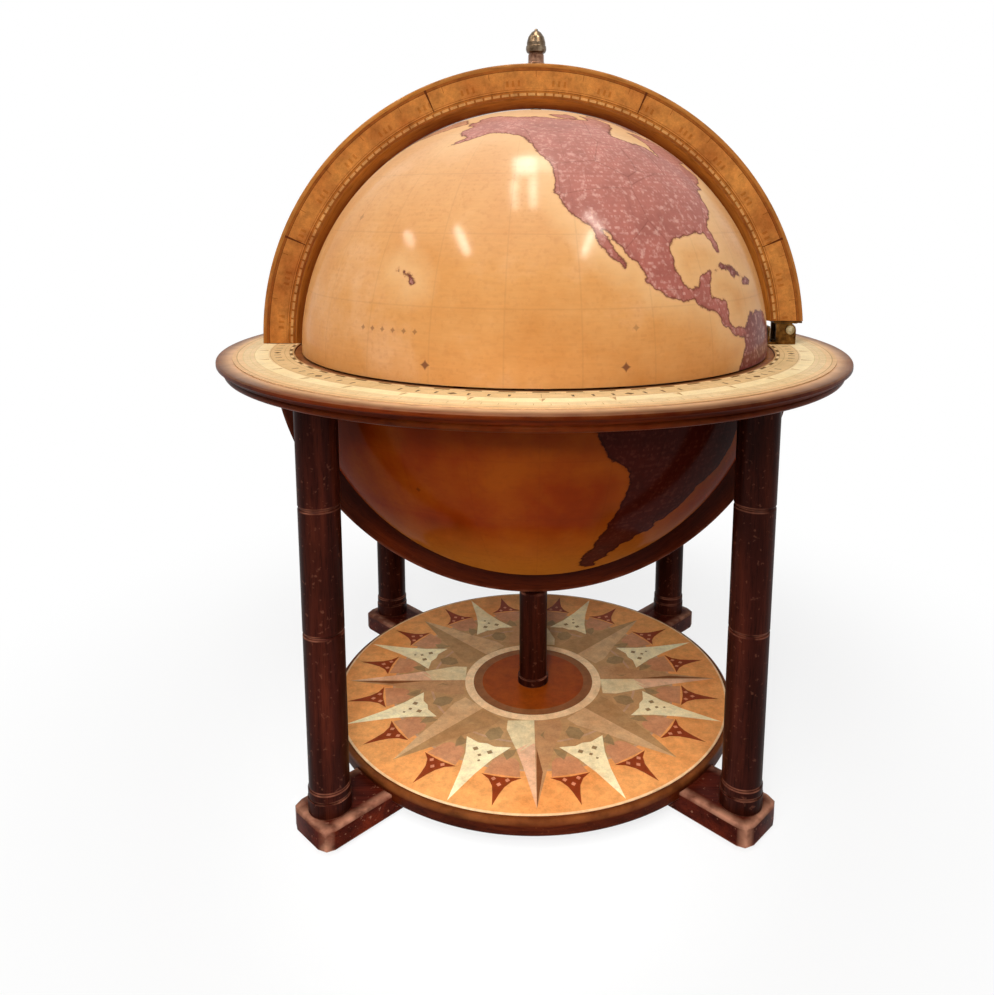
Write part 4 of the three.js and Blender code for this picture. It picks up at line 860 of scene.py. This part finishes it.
def rosePrint():
    # sixteen points in three orders round a disc: cream spears, half-shaded spears behind, small arrows between
    r = rose
    root, step = r["root"], full / 16
    cream = bothSides([(222, 0), (178, 8), (152, 15), (127, 25.5), (132, 9), (130, 0)])
    half = bothSides([(217, 0), (165, 11), (136, 18), (96, 30), (root, 29)])
    faint = bothSides([(205, 0), (161, 13), (134, 19), (96, 31), (root, 30)])
    arrow = bothSides([(217, 0), (200, 3.4), (190, 6.2), (181, 11.5), (174, 20.5), (175.5, 8), (176, 0)])
    pad = bothSides([(173, 18.5), (152, 13.5), (146, 8)])
    leaf = bothSides([(124, 0), (117, 9), (106, 8), (99, 0)])
    smallLeaf = bothSides([(150, 0), (141, 5.5), (131, 7), (134, 0)])
    creams = spunShape(cream, 8, step)
    halves, faints = spunShape(half, 4), spunShape(faint, 4, full / 8)
    arrows, pads = spunShape(arrow, 16, step / 2), spunShape(pad, 16, step / 2)
    leaves = spunShape(leaf, 8, step) + spunShape(smallLeaf, 16, step / 2)
    spines = spunShape([(root, 0), (217, 0), (150, 0)], 8)
    slivers = spunShape([(217, 0), (166, 7), (128, 1.5)], 4)
    scrolls, hollows = [], []
    for out, across, size in ((142, 8, 3.6), (142, -8, 3.6), (150, 0, 2.4), (158, 3, 1.8)):
        scrolls += spunShape(diamond(out, across, size, size), 8, step)
    scrolls += spunShape([(114, 11), (107, 6), (99, 11), (107, 9)], 4)
    for out, across in ((179.5, 7), (179.5, -7), (187, 0)):
        hollows += spunShape(diamond(out, across, 3, 2.6), 16, step / 2)
    outlines = circlesOf(r, r["under"] + r["over"], 360)
    outlines += creams + halves + faints + arrows + pads + leaves + spines + slivers + scrolls + hollows

    def inkAt(inks, x, y):
        paintBands(inks, x, y, r["under"])
        paintShapes(inks, x, y, [(pads, "pad"), (faints, "faintDark"), (halves, "brown")])
        left = (np.arctan2(y, x) + full / 16) % (full / 8) < full / 16  # one side of each of eight points
        inks[(inks == "faintDark") & left] = "faintPale"
        inks[(inks == "brown") & left] = "pink"
        inks[(inks == "pink") & (np.hypot(x, y) < r["shadeOut"])] = "creamShade"
        paintShapes(inks, x, y, [(slivers, "sliver"), (leaves, "olive"), (arrows, "red"), (hollows, "hollow"),
                                 (creams, "creamInk"), (scrolls, "olive")])
        paintBands(inks, x, y, r["over"])

    def keepAt(x, y):
        return (np.hypot(x, y) > r["inner"] - r["slack"]) & (np.hypot(x, y) < r["outer"])

    return flatPrint("rosePrint", outlines, r, inkAt, keepAt, *layFlat("shelf_rose_print"), printedRose)


stand(rosePrint(), "stand", "rose_print", "shelf_rose_print")

horizon = {
    "inner": 257.9, "outer": 317.3, "slack": 0.01, "ground": "#EED0A0", "line": "#C09A68", "scaleInk": "#6E5230",
    "ivory": "#FBE4B2", "olive": "#E0C890", "tan": "#E2C08C", "margin": "#E4BA8A", "blush": "#ECCB98",
    # inside is painted shade: the print is darkened next to the globe as if in its shadow
    "inside": "#BC9262", "outside": "#EEC896",
    "bands": [(257, 259.6, "inside"), (259.6, 262.4, "blush"), (262.4, 263, "line"), (263, 267, "tan"),
              (267, 267.5, "line"), (267.5, 281, "tan"), (281, 281.6, "line"), (283, 296, "ivory"),
              (296, 296.6, "olive"), (300.5, 301.1, "olive"), (307, 307.6, "olive"), (307.6, 312.6, "outside"),
              (312.6, 313.4, "line"), (313.4, 318, "margin")],
    "screwHole": 2.2, "screwsAt": [(266.5, -3.8), (266.5, 3.8), (282, 0)],  # the hinge base's screws pass through
}


def horizonPrint():
    # the horizon's circles: a scale of degrees, a belt of twelve houses, wind points and a calendar belt
    h = horizon
    house, week, cell = full / 12, full / 72, full / 120
    bars = spunShape(bar(267.5, 281, 0.35), 12)
    ticks = spunShape(bar(263, 267, 0.25), 72, week / 2)
    days = spunShape(bar(301.1, 307, 0.25), 144, week / 4)
    points = spunShape([(295.5, 0), (284, 3.2), (284, -3.2)], 32)
    shade = spunShape([(295.5, 0), (284, 3.2), (284, 0)], 32)
    glyphs = spunShape([(278, 0), (274.3, 4.5), (270.5, 0), (274.3, -4.5)], 12, house / 2)
    cells = spunShape(bar(259.6, 262.4, cell * 130, cell * 131), 60)
    marks = []
    for offset in (-0.17, -0.11, -0.05, 0.05, 0.11, 0.17):
        marks += spunShape(bar(271, 277.5, 1.3, 0.9), 12, house / 2 + offset)
    holes = [np.array(spot) + ringLine(h["screwHole"], 8) for spot in h["screwsAt"]]
    outlines = circlesOf(h, h["bands"]) + bars + ticks + days + points + shade + glyphs + cells + marks + holes

    def inkAt(inks, x, y):
        paintBands(inks, x, y, h["bands"])
        paintShapes(inks, x, y, [(bars, "line"), (ticks, "line"), (days, "line"), (points, "blush"),
                                 (shade, "line"), (glyphs, "scaleInk"), (cells, "scaleInk"), (marks, "scaleInk")])

    def keepAt(x, y):
        radius = np.hypot(x, y)
        kept = (radius > h["inner"] - h["slack"]) & (radius < h["outer"])
        for hole in holes:
            kept &= ~insideShape(x, y, hole)
        return kept

    return flatPrint("horizonPrint", outlines, h, inkAt, keepAt, *layFlat("horizon_print"), printedHorizon)


stand(horizonPrint(), "stand", "horizon_print", "horizon_print")

scale = {
    "inner": 262.5, "outer": 293.2, "leftEnd": 0.8, "rightEnd": 26.8, "beyond": 320.0,
    "ground": "#D28A42", "band": "#BE7430", "pale": "#DCA460", "line": "#6B3410", "cell": "#A8662C",
    "edge": "#A45E24",
    "bands": [(262, 264.8, "edge"), (264.8, 267.4, "pale"), (267.4, 269.2, "band"), (269.2, 269.7, "line"),
              (271.2, 271.7, "edge"), (290, 290.5, "line"), (290.5, 294, "edge")],
}


def meridianScale(name, node, side):
    # a half circle of print: a band of single degrees at its inner edge, then cells cut at the tropics and circles
    # side is 1 in front and -1 at the back, where the print is mirrored so that it faces out
    s = scale
    degrees = spunShape(bar(264.8, 267.4, 1.0), 180)
    fives = spunShape(bar(267.4, 269.2, 0.2), 72)
    cuts = []
    for tilt in (23.5, 66.5, 113.5, 156.5):
        cuts += spunShape(bar(269.7, 293.2, 0.4, 1.3), 1, np.radians(tilt))
    tens = spunShape(bar(283.5, 290, 0.35), 36)
    marks = []
    for offset in (-0.022, 0.0, 0.022):
        marks += spunShape(bar(274.5, 280.5, 1.4, 1.1), 36, offset + full / 72)
    far, left, right = s["beyond"], s["leftEnd"], s["rightEnd"]
    ends = np.array([(-far, left), (0, left), (0, right), (far, right), (far, -far), (-far, -far)])
    outlines = circlesOf(s, s["bands"]) + degrees + fives + cuts + tens + marks + [ends]

    def inkAt(inks, x, y):
        paintBands(inks, x, y, s["bands"])
        paintShapes(inks, x, y, [(degrees, "cell"), (fives, "line"), (tens, "cell"), (marks, "band"), (cuts, "line")])

    def keepAt(x, y):
        radius = np.hypot(x, y)
        return (radius > s["inner"]) & (radius < s["outer"]) & (y > np.where(x * side > 0, right, left))

    low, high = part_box(node)
    plane = low.y if side > 0 else high.y

    def upright(flat):
        return np.column_stack([flat[:, 0] * side, np.full(len(flat), plane), globe["centre"] + flat[:, 1]])

    return flatPrint(name, [outline * [side, 1] for outline in outlines], s, inkAt, keepAt, upright,
                     high.y - low.y, printedScale)


for end, side in (("front", 1), ("back", -1)):
    piece = meridianScale("printedScale" + end.title(), f"meridian_scale_{end}", side)
    stand(piece, "lid", "scale_print", f"meridian_scale_{end}")
print("prints made")


# the stand

ringLow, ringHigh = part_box("horizon_ring")
ring = {"outer": 333.0, "hole": 252.5, "rebate": 257.6, "rebateDepth": 3.0, "lip": 4.6, "lipRound": 2.0,
        "overhang": 1.6, "cove": 5.0, "bead": 3.2, "quirk": 1.6, "flat": 20.0, "topBand": 1.5, "topFrom": 300.0,
        "paleAt": [316, 320, 324, 328, 332], "pale": [1.0, 0.92, 0.6, 0.3, 0.12]}  # the stain deepens outward
thick = (ringHigh.z - ringLow.z) / mm
lipLow = thick - ring["lip"]
coveOut = ring["outer"] - ring["overhang"]
beadMiddle = coveOut - ring["cove"] - ring["bead"]
lipMiddle = ring["outer"] - ring["lipRound"]
ringProfile = np.vstack([
    [[ring["hole"] * mm, 0, 0], [(beadMiddle - 6) * mm, 0, 0]],
    arcRows((beadMiddle, ring["bead"]), ring["bead"], -90, 60, 0.35),
    [[(coveOut - ring["cove"] - ring["quirk"]) * mm, (lipLow - ring["cove"] - 0.1) * mm, 0]],
    arcRows((coveOut, lipLow - ring["cove"]), ring["cove"], 180, 90, 0),
    [[(ring["outer"] - 0.3) * mm, lipLow * mm, 0], [ring["outer"] * mm, (lipLow + 0.3) * mm, 0]],
    arcRows((lipMiddle, thick - ring["lipRound"]), ring["lipRound"], 0, 90, 0.5),
    [[(lipMiddle - gap) * mm, thick * mm, 0] for gap in (4, 7, 11, 13)],
    rounded([(lipMiddle - ring["flat"], thick, 0), (ring["rebate"], thick, 0.4),
             (ring["rebate"], thick - ring["rebateDepth"], 0.3),
             (ring["hole"], thick - ring["rebateDepth"], 0.5), (ring["hole"], 1, 0)], closed=False)])
onTop = (ringProfile[:, 1] > (thick - ring["topBand"]) * mm) & (ringProfile[:, 0] > ring["topFrom"] * mm)
ringPale = np.interp(ringProfile[:, 0] / mm, ring["paleAt"], ring["pale"])
ringProfile = np.column_stack([ringProfile, onTop * ringPale])
horizonRing = turnedPiece("horizonRing", ringProfile, ringWood, 240, (0, 0, ringLow.z))
stand(horizonRing, "stand", "red_stained_beech", "horizon_ring")

shelfLow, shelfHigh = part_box("shelf_board")
shelf = {"outer": 231.0, "hole": 4.4, "top": 2.5, "bottom": 4.0, "grooveDepth": 9.0, "groove": 60.6,
         "wear": 7.0, "wearFade": 2.5, "topWear": 6.0}
thick = (shelfHigh.z - shelfLow.z) / mm
out, wearLow = shelf["outer"], thick - shelf["wear"]
shelfProfile = np.vstack([
    [[shelf["hole"] * mm, 0, 0]],
    arcRows((out - shelf["bottom"], shelf["bottom"]), shelf["bottom"], -90, 0, 0),
    [[out * mm, wearLow * mm, 0], [out * mm, (wearLow + shelf["wearFade"]) * mm, 0.6]],
    arcRows((out - shelf["top"], thick - shelf["top"]), shelf["top"], 0, 90, 0.8),
    [[(out - shelf["topWear"]) * mm, thick * mm, 0.3], [shelf["hole"] * mm, thick * mm, 0]]])
shelfBoard = turnedPiece("shelfBoard", shelfProfile, shelfWood, 240, (0, 0, shelfLow.z))
grooveSize = (1.0, shelf["groove"] * mm, shelf["grooveDepth"] * mm * 2)  # right through, half of it below the board
cutAway(shelfBoard, [(grooveSize, (0, 0, shelfLow.z), turn) for turn in (np.pi / 4, -np.pi / 4)])
stand(shelfBoard, "stand", "dark_stained_beech", "shelf_board")

postLow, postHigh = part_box("centre_post")
post = {"radius": 16.2, "foot": 17.8, "footHeight": 9.0, "hole": 4.4, "lowDepth": 34.0, "topDepth": 30.0}
high = (postHigh.z - postLow.z) / mm
postProfile = rounded([
    (0, post["lowDepth"], 0.1), (post["hole"], post["lowDepth"], 0.1), (post["hole"], 0, 0.2), (post["foot"], 0, 0.5),
    (post["foot"], post["footHeight"], 1.6), (post["radius"], post["footHeight"] + 0.4, 0.4),
    (post["radius"], high, 1.4), (post["hole"], high, 0.2), (post["hole"], high - post["topDepth"], 0.1),
    (0, high - post["topDepth"], 0.1),
], closed=False)
centrePost = turnedPiece("centrePost", postProfile, darkBeech, 64, (0, 0, postLow.z), closed=False)
stand(centrePost, "stand", "dark_stained_beech", "centre_post")

leg = {"radius": 19.0, "plinth": 20.4, "plinthHeight": 15.0, "collar": 19.9, "collarTop": 25.0, "height": 400.0,
       "grooves": (180.0, 300.0), "grooveDepth": 1.3, "grooveWidth": 3.6, "hole": 4.4, "holeDepth": 34.0,
       "dowelHole": 4.9, "dowelDepth": 26.0}


def legPiece(corner):
    # a turned column; wear shows on the plinth's and collar's rounds and on both lips of each groove
    low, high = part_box(f"leg_{corner}")
    at = ((low.x + high.x) / 2, (low.y + high.y) / 2, low.z)
    v = leg
    corners = [(0, v["holeDepth"], 0.1), (v["hole"], v["holeDepth"], 0.1), (v["hole"], 0, 0.2), (v["plinth"], 0, 0.5),
               (v["plinth"], v["plinthHeight"], 2.0), (v["radius"] + 0.3, v["plinthHeight"] + 0.3, 0.3),
               (v["collar"], v["plinthHeight"] + 2, 1.2), (v["collar"], v["collarTop"] - 1, 1.6),
               (v["radius"], v["collarTop"] + 1, 0.6)]
    for groove in v["grooves"]:
        corners += [(v["radius"], groove - v["grooveWidth"] / 2, 0.7), (v["radius"] - v["grooveDepth"], groove, 0.4),
                    (v["radius"], groove + v["grooveWidth"] / 2, 0.7)]
    corners += [(v["radius"], v["height"], 0.4), (v["dowelHole"], v["height"], 0.2),
                (v["dowelHole"], v["height"] - v["dowelDepth"], 0.1), (0, v["height"] - v["dowelDepth"], 0.1)]
    name = "leg" + corner.title().replace("_", "")
    piece = turnedPiece(name, rounded(corners, closed=False), darkBeech, 72, at, closed=False)
    return stand(piece, "stand", "dark_stained_beech", f"leg_{corner}")


cornerNames = ("front_left", "front_right", "back_right", "back_left")
glide = {"radius": 15.0, "height": 3.0}
for corner in cornerNames:
    legPiece(corner)
    low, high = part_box(f"floor_glide_{corner}")
    at = ((low.x + high.x) / 2, (low.y + high.y) / 2, 0)
    profile = rounded([(0, 0, 0), (glide["radius"], 0, 0.6), (glide["radius"], glide["height"], 0.8),
                       (0, glide["height"], 0)], closed=False)
    disc = turnedPiece("glide" + corner.title().replace("_", ""), profile, greyFelt, 48, at, closed=False)
    stand(disc, "stand", "grey_felt", f"floor_glide_{corner}")

arm = {"width": 60.0, "topBand": 12.0, "sideBand": 3.0}  # the bands are how far wear reaches from an edge; the wide band on the tops is partly painted light, the tops lighter as if lit from above


def armPiece(name, node, turn, material):
    # the arm's own solid with its faces split near their edges, so that wear can fade in from each edge
    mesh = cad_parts[node].data.copy()
    mesh.name = name
    mesh.materials.clear()
    across = np.array([-np.sin(turn), np.cos(turn), 0])
    along = np.array([np.cos(turn), np.sin(turn), 0])
    co = vertexPlaces(mesh)
    reach, low, high = (co @ along).max(), co[:, 2].min(), co[:, 2].max()
    half, band, drop = arm["width"] * mm / 2, arm["topBand"] * mm, arm["sideBand"] * mm
    cuts = [(along, reach - band), (along, band - reach), (across, half - band), (across, band - half),
            ((0, 0, 1), high - drop), ((0, 0, 1), low + drop)]
    bm = bmesh.new()
    bm.from_mesh(mesh)
    bmesh.ops.remove_doubles(bm, verts=bm.verts, dist=1e-6)
    bmesh.ops.dissolve_limit(bm, angle_limit=0.01, verts=bm.verts, edges=bm.edges)
    bmesh.ops.recalc_face_normals(bm, faces=bm.faces)
    for normal, distance in cuts:
        bmesh.ops.bisect_plane(bm, geom=bm.verts[:] + bm.edges[:] + bm.faces[:], dist=1e-6,
                               plane_co=np.array(normal) * distance, plane_no=normal)
    bm.to_mesh(mesh)
    bm.free()
    co = vertexPlaces(mesh)
    depths = np.stack([
        reach - np.abs(co @ along), half - np.abs(co @ across), np.minimum(co[:, 2] - low, high - co[:, 2])], -1)
    # a point is near an edge where it is near two of the three pairs of faces
    near = np.sort(np.clip(1 - depths / [band, band, drop], 0, 1), axis=1)
    # on the tops the wear reaches far in: real wear, and partly painted light from above
    wear = mesh.attributes.new("wear", "FLOAT", "POINT")
    wear.data.foreach_set("value", np.clip(near[:, 1] * 1.6, 0, 1).astype(np.float32))
    mesh.polygons.foreach_set("use_smooth", np.ones(len(mesh.polygons), bool))
    mesh.set_sharp_from_angle(angle=np.radians(50))
    mesh.materials.append(material)
    return stand(newObject(name, mesh), "stand", "red_stained_beech", node)


armPiece("baseArmUnder", "base_arm_under", np.pi / 4, redArm["Under"])
armPiece("baseArmOver", "base_arm_over", -np.pi / 4, redArm["Over"])

meridian = {"half": 10.5, "upperInner": 252.5, "upperOuter": 297.8, "chamfer": 9.5, "innerHalf": 3.5,
            "lowerInner": 254.0, "lowerOuter": 291.0, "round": 1.6, "ease": 1.5,
            "leftEnd": 0.3, "rightEnd": 26.3}
m = meridian
lowerSection = rounded([
    (m["lowerInner"] + m["ease"], -m["half"], 1.2), (m["lowerOuter"], -m["half"], m["round"]),
    (m["lowerOuter"], m["half"], m["round"]), (m["lowerInner"] + m["ease"], m["half"], 1.2),
    (m["lowerInner"], m["half"] - m["ease"], 0.6), (m["lowerInner"], m["ease"] - m["half"], 0.6)])
lowerLevel = globe["centre"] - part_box("lower_meridian")[1].z
lowerMeridian = sweptHalfRing("lowerMeridian", lowerSection, (lowerLevel, lowerLevel), globe["centre"],
                              darkBent, down=True)
stand(lowerMeridian, "stand", "dark_stained_beech", "lower_meridian")

upperSection = rounded([
    (m["upperInner"] + m["chamfer"], -m["half"], 0.7), (m["upperOuter"], -m["half"], m["round"]),
    (m["upperOuter"], m["half"], m["round"]), (m["upperInner"] + m["chamfer"], m["half"], 0.7),
    (m["upperInner"], m["innerHalf"], 0.6), (m["upperInner"], -m["innerHalf"], 0.6)])
upperLevels = (m["leftEnd"] * mm, m["rightEnd"] * mm)
upperMeridian = sweptHalfRing("upperMeridian", upperSection, upperLevels, globe["centre"], archBent)
stand(upperMeridian, "lid", "red_stained_beech", "upper_meridian")

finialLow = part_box("finial")[0]
neckHeight = 10.8
finialProfile = rounded([  # a collared neck, then the acorn's cup, nut and tip, over a blind hole for the pole's pin
    (0, 8, 0.1), (3.4, 8, 0.1), (3.4, 0, 0.2), (9.0, 0, 0.5), (9.0, 1.4, 0.5), (8.3, 1.9, 0.3), (8.3, 9.4, 0.5),
    (7.4, 10.6, 0.6), (9.8, 12.0, 0.6), (10.8, 14.6, 1.2), (10.6, 18.0, 0.5), (9.9, 18.5, 0.3), (9.8, 22, 2),
    (8.3, 27.6, 3), (5.0, 32.2, 2), (2.0, 34.2, 0.8), (1.6, 35.6, 0.6), (0, 36.1, 0.1)], closed=False)
finial = turnedPiece("acornFinial", finialProfile, pewter, 64, (0, 0, finialLow.z), closed=False)
finial.data.materials.append(copperyBrass)
onNeck = faceMiddles(finial.data)[:, 2] < finialLow.z + neckHeight * mm
finial.data.polygons.foreach_set("material_index", onNeck.astype(np.int32))
stand(finial, "lid", "aged_brass", "finial")
print("stand and meridians made")


# finishes of the carried-over solids

finishes = {
    darkBeech: ["bowl_seat"],
    shelfWood: ["upper_rim_hoop"],
    deckWood: ["drinks_deck", "bottle_floor"],
    bareBeech: [f"leg_dowel_{corner}" for corner in cornerNames]
    + ["meridian_dowel_left", "meridian_dowel_right", "pole_block"],
    agedBrass: ["hinge_base", "hinge_base_screw_front", "hinge_base_screw_back", "hinge_base_screw_outer",
                "hinge_tongue", "tongue_screw_left", "tongue_screw_right", "pole_spacer", "pole_washer", "pole_nut"],
    rubbedBrass: ["hinge_pin"],
    zincSteel: [f"{fixing}_{corner}" for fixing in ("leg_bolt", "shelf_screw") for corner in cornerNames]
    + ["post_bolt", "bowl_washer", "bowl_bolt", "pole_pin"],
}
for material, nodes in finishes.items():
    for node in nodes:
        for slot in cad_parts[node].material_slots:
            slot.material = material


# the room

floorLook = {"colour": "#F3F3F2", "white": 0.8, "near": 0.3, "far": 0.8, "side": 60.0}
# the world's light is lower behind the right of the globe, and full where the camera sees it
roomLook = {"dark": 0.05, "light": 0.27, "darkWay": (0.7, 0.7, -0.1), "from": 0.1, "to": 0.8}


def seenShare(tree):
    # 1 for what looks straight at it, mirrors it or shows it through glass, and 0 for light that it sends out
    path = addNode(tree, "LightPath").outputs
    seen = addNode(tree, "Math", {0: path["Is Camera Ray"], 1: path["Is Glossy Ray"]}, operation="MAXIMUM")
    return addNode(tree, "Math", {0: seen, 1: path["Is Transmission Ray"]}, operation="MAXIMUM")


def floorMaterial():
    # pale studio board: fine grit; what looks at it or mirrors it sees it go over into white away from the object
    material, tree, shader = startMaterial("paleStudioFloor", Roughness=0.9)
    place = addNode(tree, "TexCoord").outputs["Object"]
    grit = addNode(tree, "TexNoise", {"Vector": place, "Scale": perSize(1.43), "Detail": 2.0})
    bump = addNode(tree, "Bump", {"Height": grit, "Strength": 0.05, "Distance": 0.1 * mm})
    away = addNode(tree, "VectorMath", {0: place}, operation="LENGTH").outputs["Value"]
    fade = addNode(tree, "MapRange", {
        "Value": away, "From Min": floorLook["near"], "From Max": floorLook["far"], "To Min": floorLook["white"]},
        interpolation_type="SMOOTHSTEP")
    amount = addNode(tree, "Math", {0: seenShare(tree), 1: fade}, operation="MULTIPLY")
    white = addNode(tree, "Emission", {"Color": "#FFFFFF", "Strength": 1.0})
    mixed = addNode(tree, "MixShader", {0: amount, 1: shader, 2: white})
    setInputs(tree, tree.nodes["Material Output"], {"Surface": mixed})
    setInputs(tree, shader, {"Base Color": floorLook["colour"], "Normal": bump})
    return material


floorMesh = bpy.data.meshes.new("floor")
edge = floorLook["side"] / 2
floorMesh.from_pydata([(-edge, -edge, 0), (edge, -edge, 0), (edge, edge, 0), (-edge, edge, 0)], [], [(0, 1, 2, 3)])
floorMesh.materials.append(floorMaterial())
newObject("floor", floorMesh)

world = bpy.data.worlds.new("studio")
bpy.context.scene.world = world
world.use_nodes = True
tree = world.node_tree
tree.nodes.clear()
way = addNode(tree, "TexCoord").outputs["Generated"]
toward = addNode(tree, "VectorMath", {0: way, 1: roomLook["darkWay"]}, operation="DOT_PRODUCT").outputs["Value"]
soft = addNode(tree, "MapRange", {
    "Value": toward, "From Min": roomLook["from"], "From Max": roomLook["to"],
    "To Min": roomLook["light"], "To Max": roomLook["dark"]})
strength = addNode(tree, "Math", {0: seenShare(tree), 1: soft}, operation="MAXIMUM")
air = addNode(tree, "Background", {"Color": "#FFFFFF", "Strength": strength})
addNode(tree, "OutputWorld", {"Surface": air})

# each lamp runs between two directions from the globe, as azimuth from the front and elevation in degrees,
# then its distance, width and watts; the windows show as highlights alone, the fill only lights
lamps = {
    "fill": ((-12, 40), (-12, 70), 3.6, 2.4, 121),
    "windowTop": ((-163.7, 79.8), (-59.0, 86.1), 2.6, 0.34, 30),
    "windowLeft": ((-60.7, 82.0), (-21.2, 67.7), 2.6, 0.1, 13),
    "windowRight": ((-13.2, 85.9), (-3.6, 69.0), 2.6, 0.1, 16),
    "windowEdge": ((158.6, 80.3), (86.4, 86.7), 2.6, 0.2, 5),
    "leftSlot": ((-57.1, 52.8), (-40.1, 43.7), 2.8, 0.08, 26),
    "farLeftSlot": ((-86.7, 41.6), (-75.0, 38.7), 2.8, 0.06, 9),
    "rightSlot": ((39.3, 54.4), (26.6, 44.6), 2.8, 0.06, 20),
    "rightUpperSlot": ((43.5, 63.1), (46.0, 52.2), 2.8, 0.12, 18),
}
windowColour = "#FFF6E4"
for name, (first, last, distance, width, watts) in lamps.items():
    around, above = np.radians([first, last]).T
    ways = np.column_stack([np.cos(above) * np.sin(around), -np.cos(above) * np.cos(around), np.sin(above)])
    z = ways.sum(axis=0) / np.linalg.norm(ways.sum(axis=0))
    y = ways[0] - ways[1]
    light = bpy.data.lights.new(name, "AREA")
    light.shape = "RECTANGLE"
    light.size, light.size_y, light.energy = width, np.linalg.norm(y) * distance, watts
    y /= np.linalg.norm(y)
    lamp = newObject(name, light)
    turned = Matrix([list(np.cross(y, z)), list(y), list(z)]).transposed().to_4x4()
    lamp.matrix_world = Matrix.Translation((0, 0, globe["centre"])) @ Matrix.Translation(z * distance) @ turned
    lamp.visible_diffuse = name == "fill"
    lamp.visible_glossy = name != "fill"
    if name != "fill":
        light.color = toLinear(windowColour)[:3]

# soft and low, it reaches the shelf under the ring
beam = {"from": (-0.1, -0.85, 0.62), "to": (-0.02, -0.06, 0.04), "watts": 25, "angle": 36, "blend": 0.5, "size": 0.1}
light = bpy.data.lights.new("shelfBeam", "SPOT")
light.energy, light.spot_size, light.spot_blend = beam["watts"], np.radians(beam["angle"]), beam["blend"]
light.shadow_soft_size = beam["size"]
lamp = newObject("shelfBeam", light)
aim = Vector(beam["to"]) - Vector(beam["from"])
lamp.matrix_world = Matrix.Translation(beam["from"]) @ aim.to_track_quat("-Z", "Y").to_matrix().to_4x4()
lamp.visible_glossy = False

# the photograph's view: distance and height as shares of the globe's radius, angles in radians, the rest in pixels
view = {"distance": 3.6492, "height": 0.5651, "down": 0.1583, "roll": 0.005, "yaw": 0.0199,
        "focal": 827.217, "middle": (534.635, 346.467), "frame": (994, 995)}
v = view
lens = bpy.data.cameras.new("camera")
lens.sensor_width = 36.0
lens.lens = v["focal"] * lens.sensor_width / max(v["frame"])
lens.shift_x = (v["frame"][0] / 2 - v["middle"][0]) / max(v["frame"])
lens.shift_y = (v["middle"][1] - v["frame"][1] / 2) / max(v["frame"])
camera = newObject("camera", lens)
turnBack = Matrix.Rotation(-v["yaw"], 4, "Z")
tilt = Matrix.Rotation(np.pi / 2 - v["down"], 4, "X")
spin = Matrix.Rotation(v["roll"], 4, "Z")
spot = Matrix.Translation((0, -v["distance"] * globe["radius"], globe["centre"] + v["height"] * globe["radius"]))
camera.matrix_world = turnBack @ spot @ tilt @ spin
bpy.context.scene.camera = camera
bpy.context.scene.view_settings.view_transform = "Standard"
print("room lit")
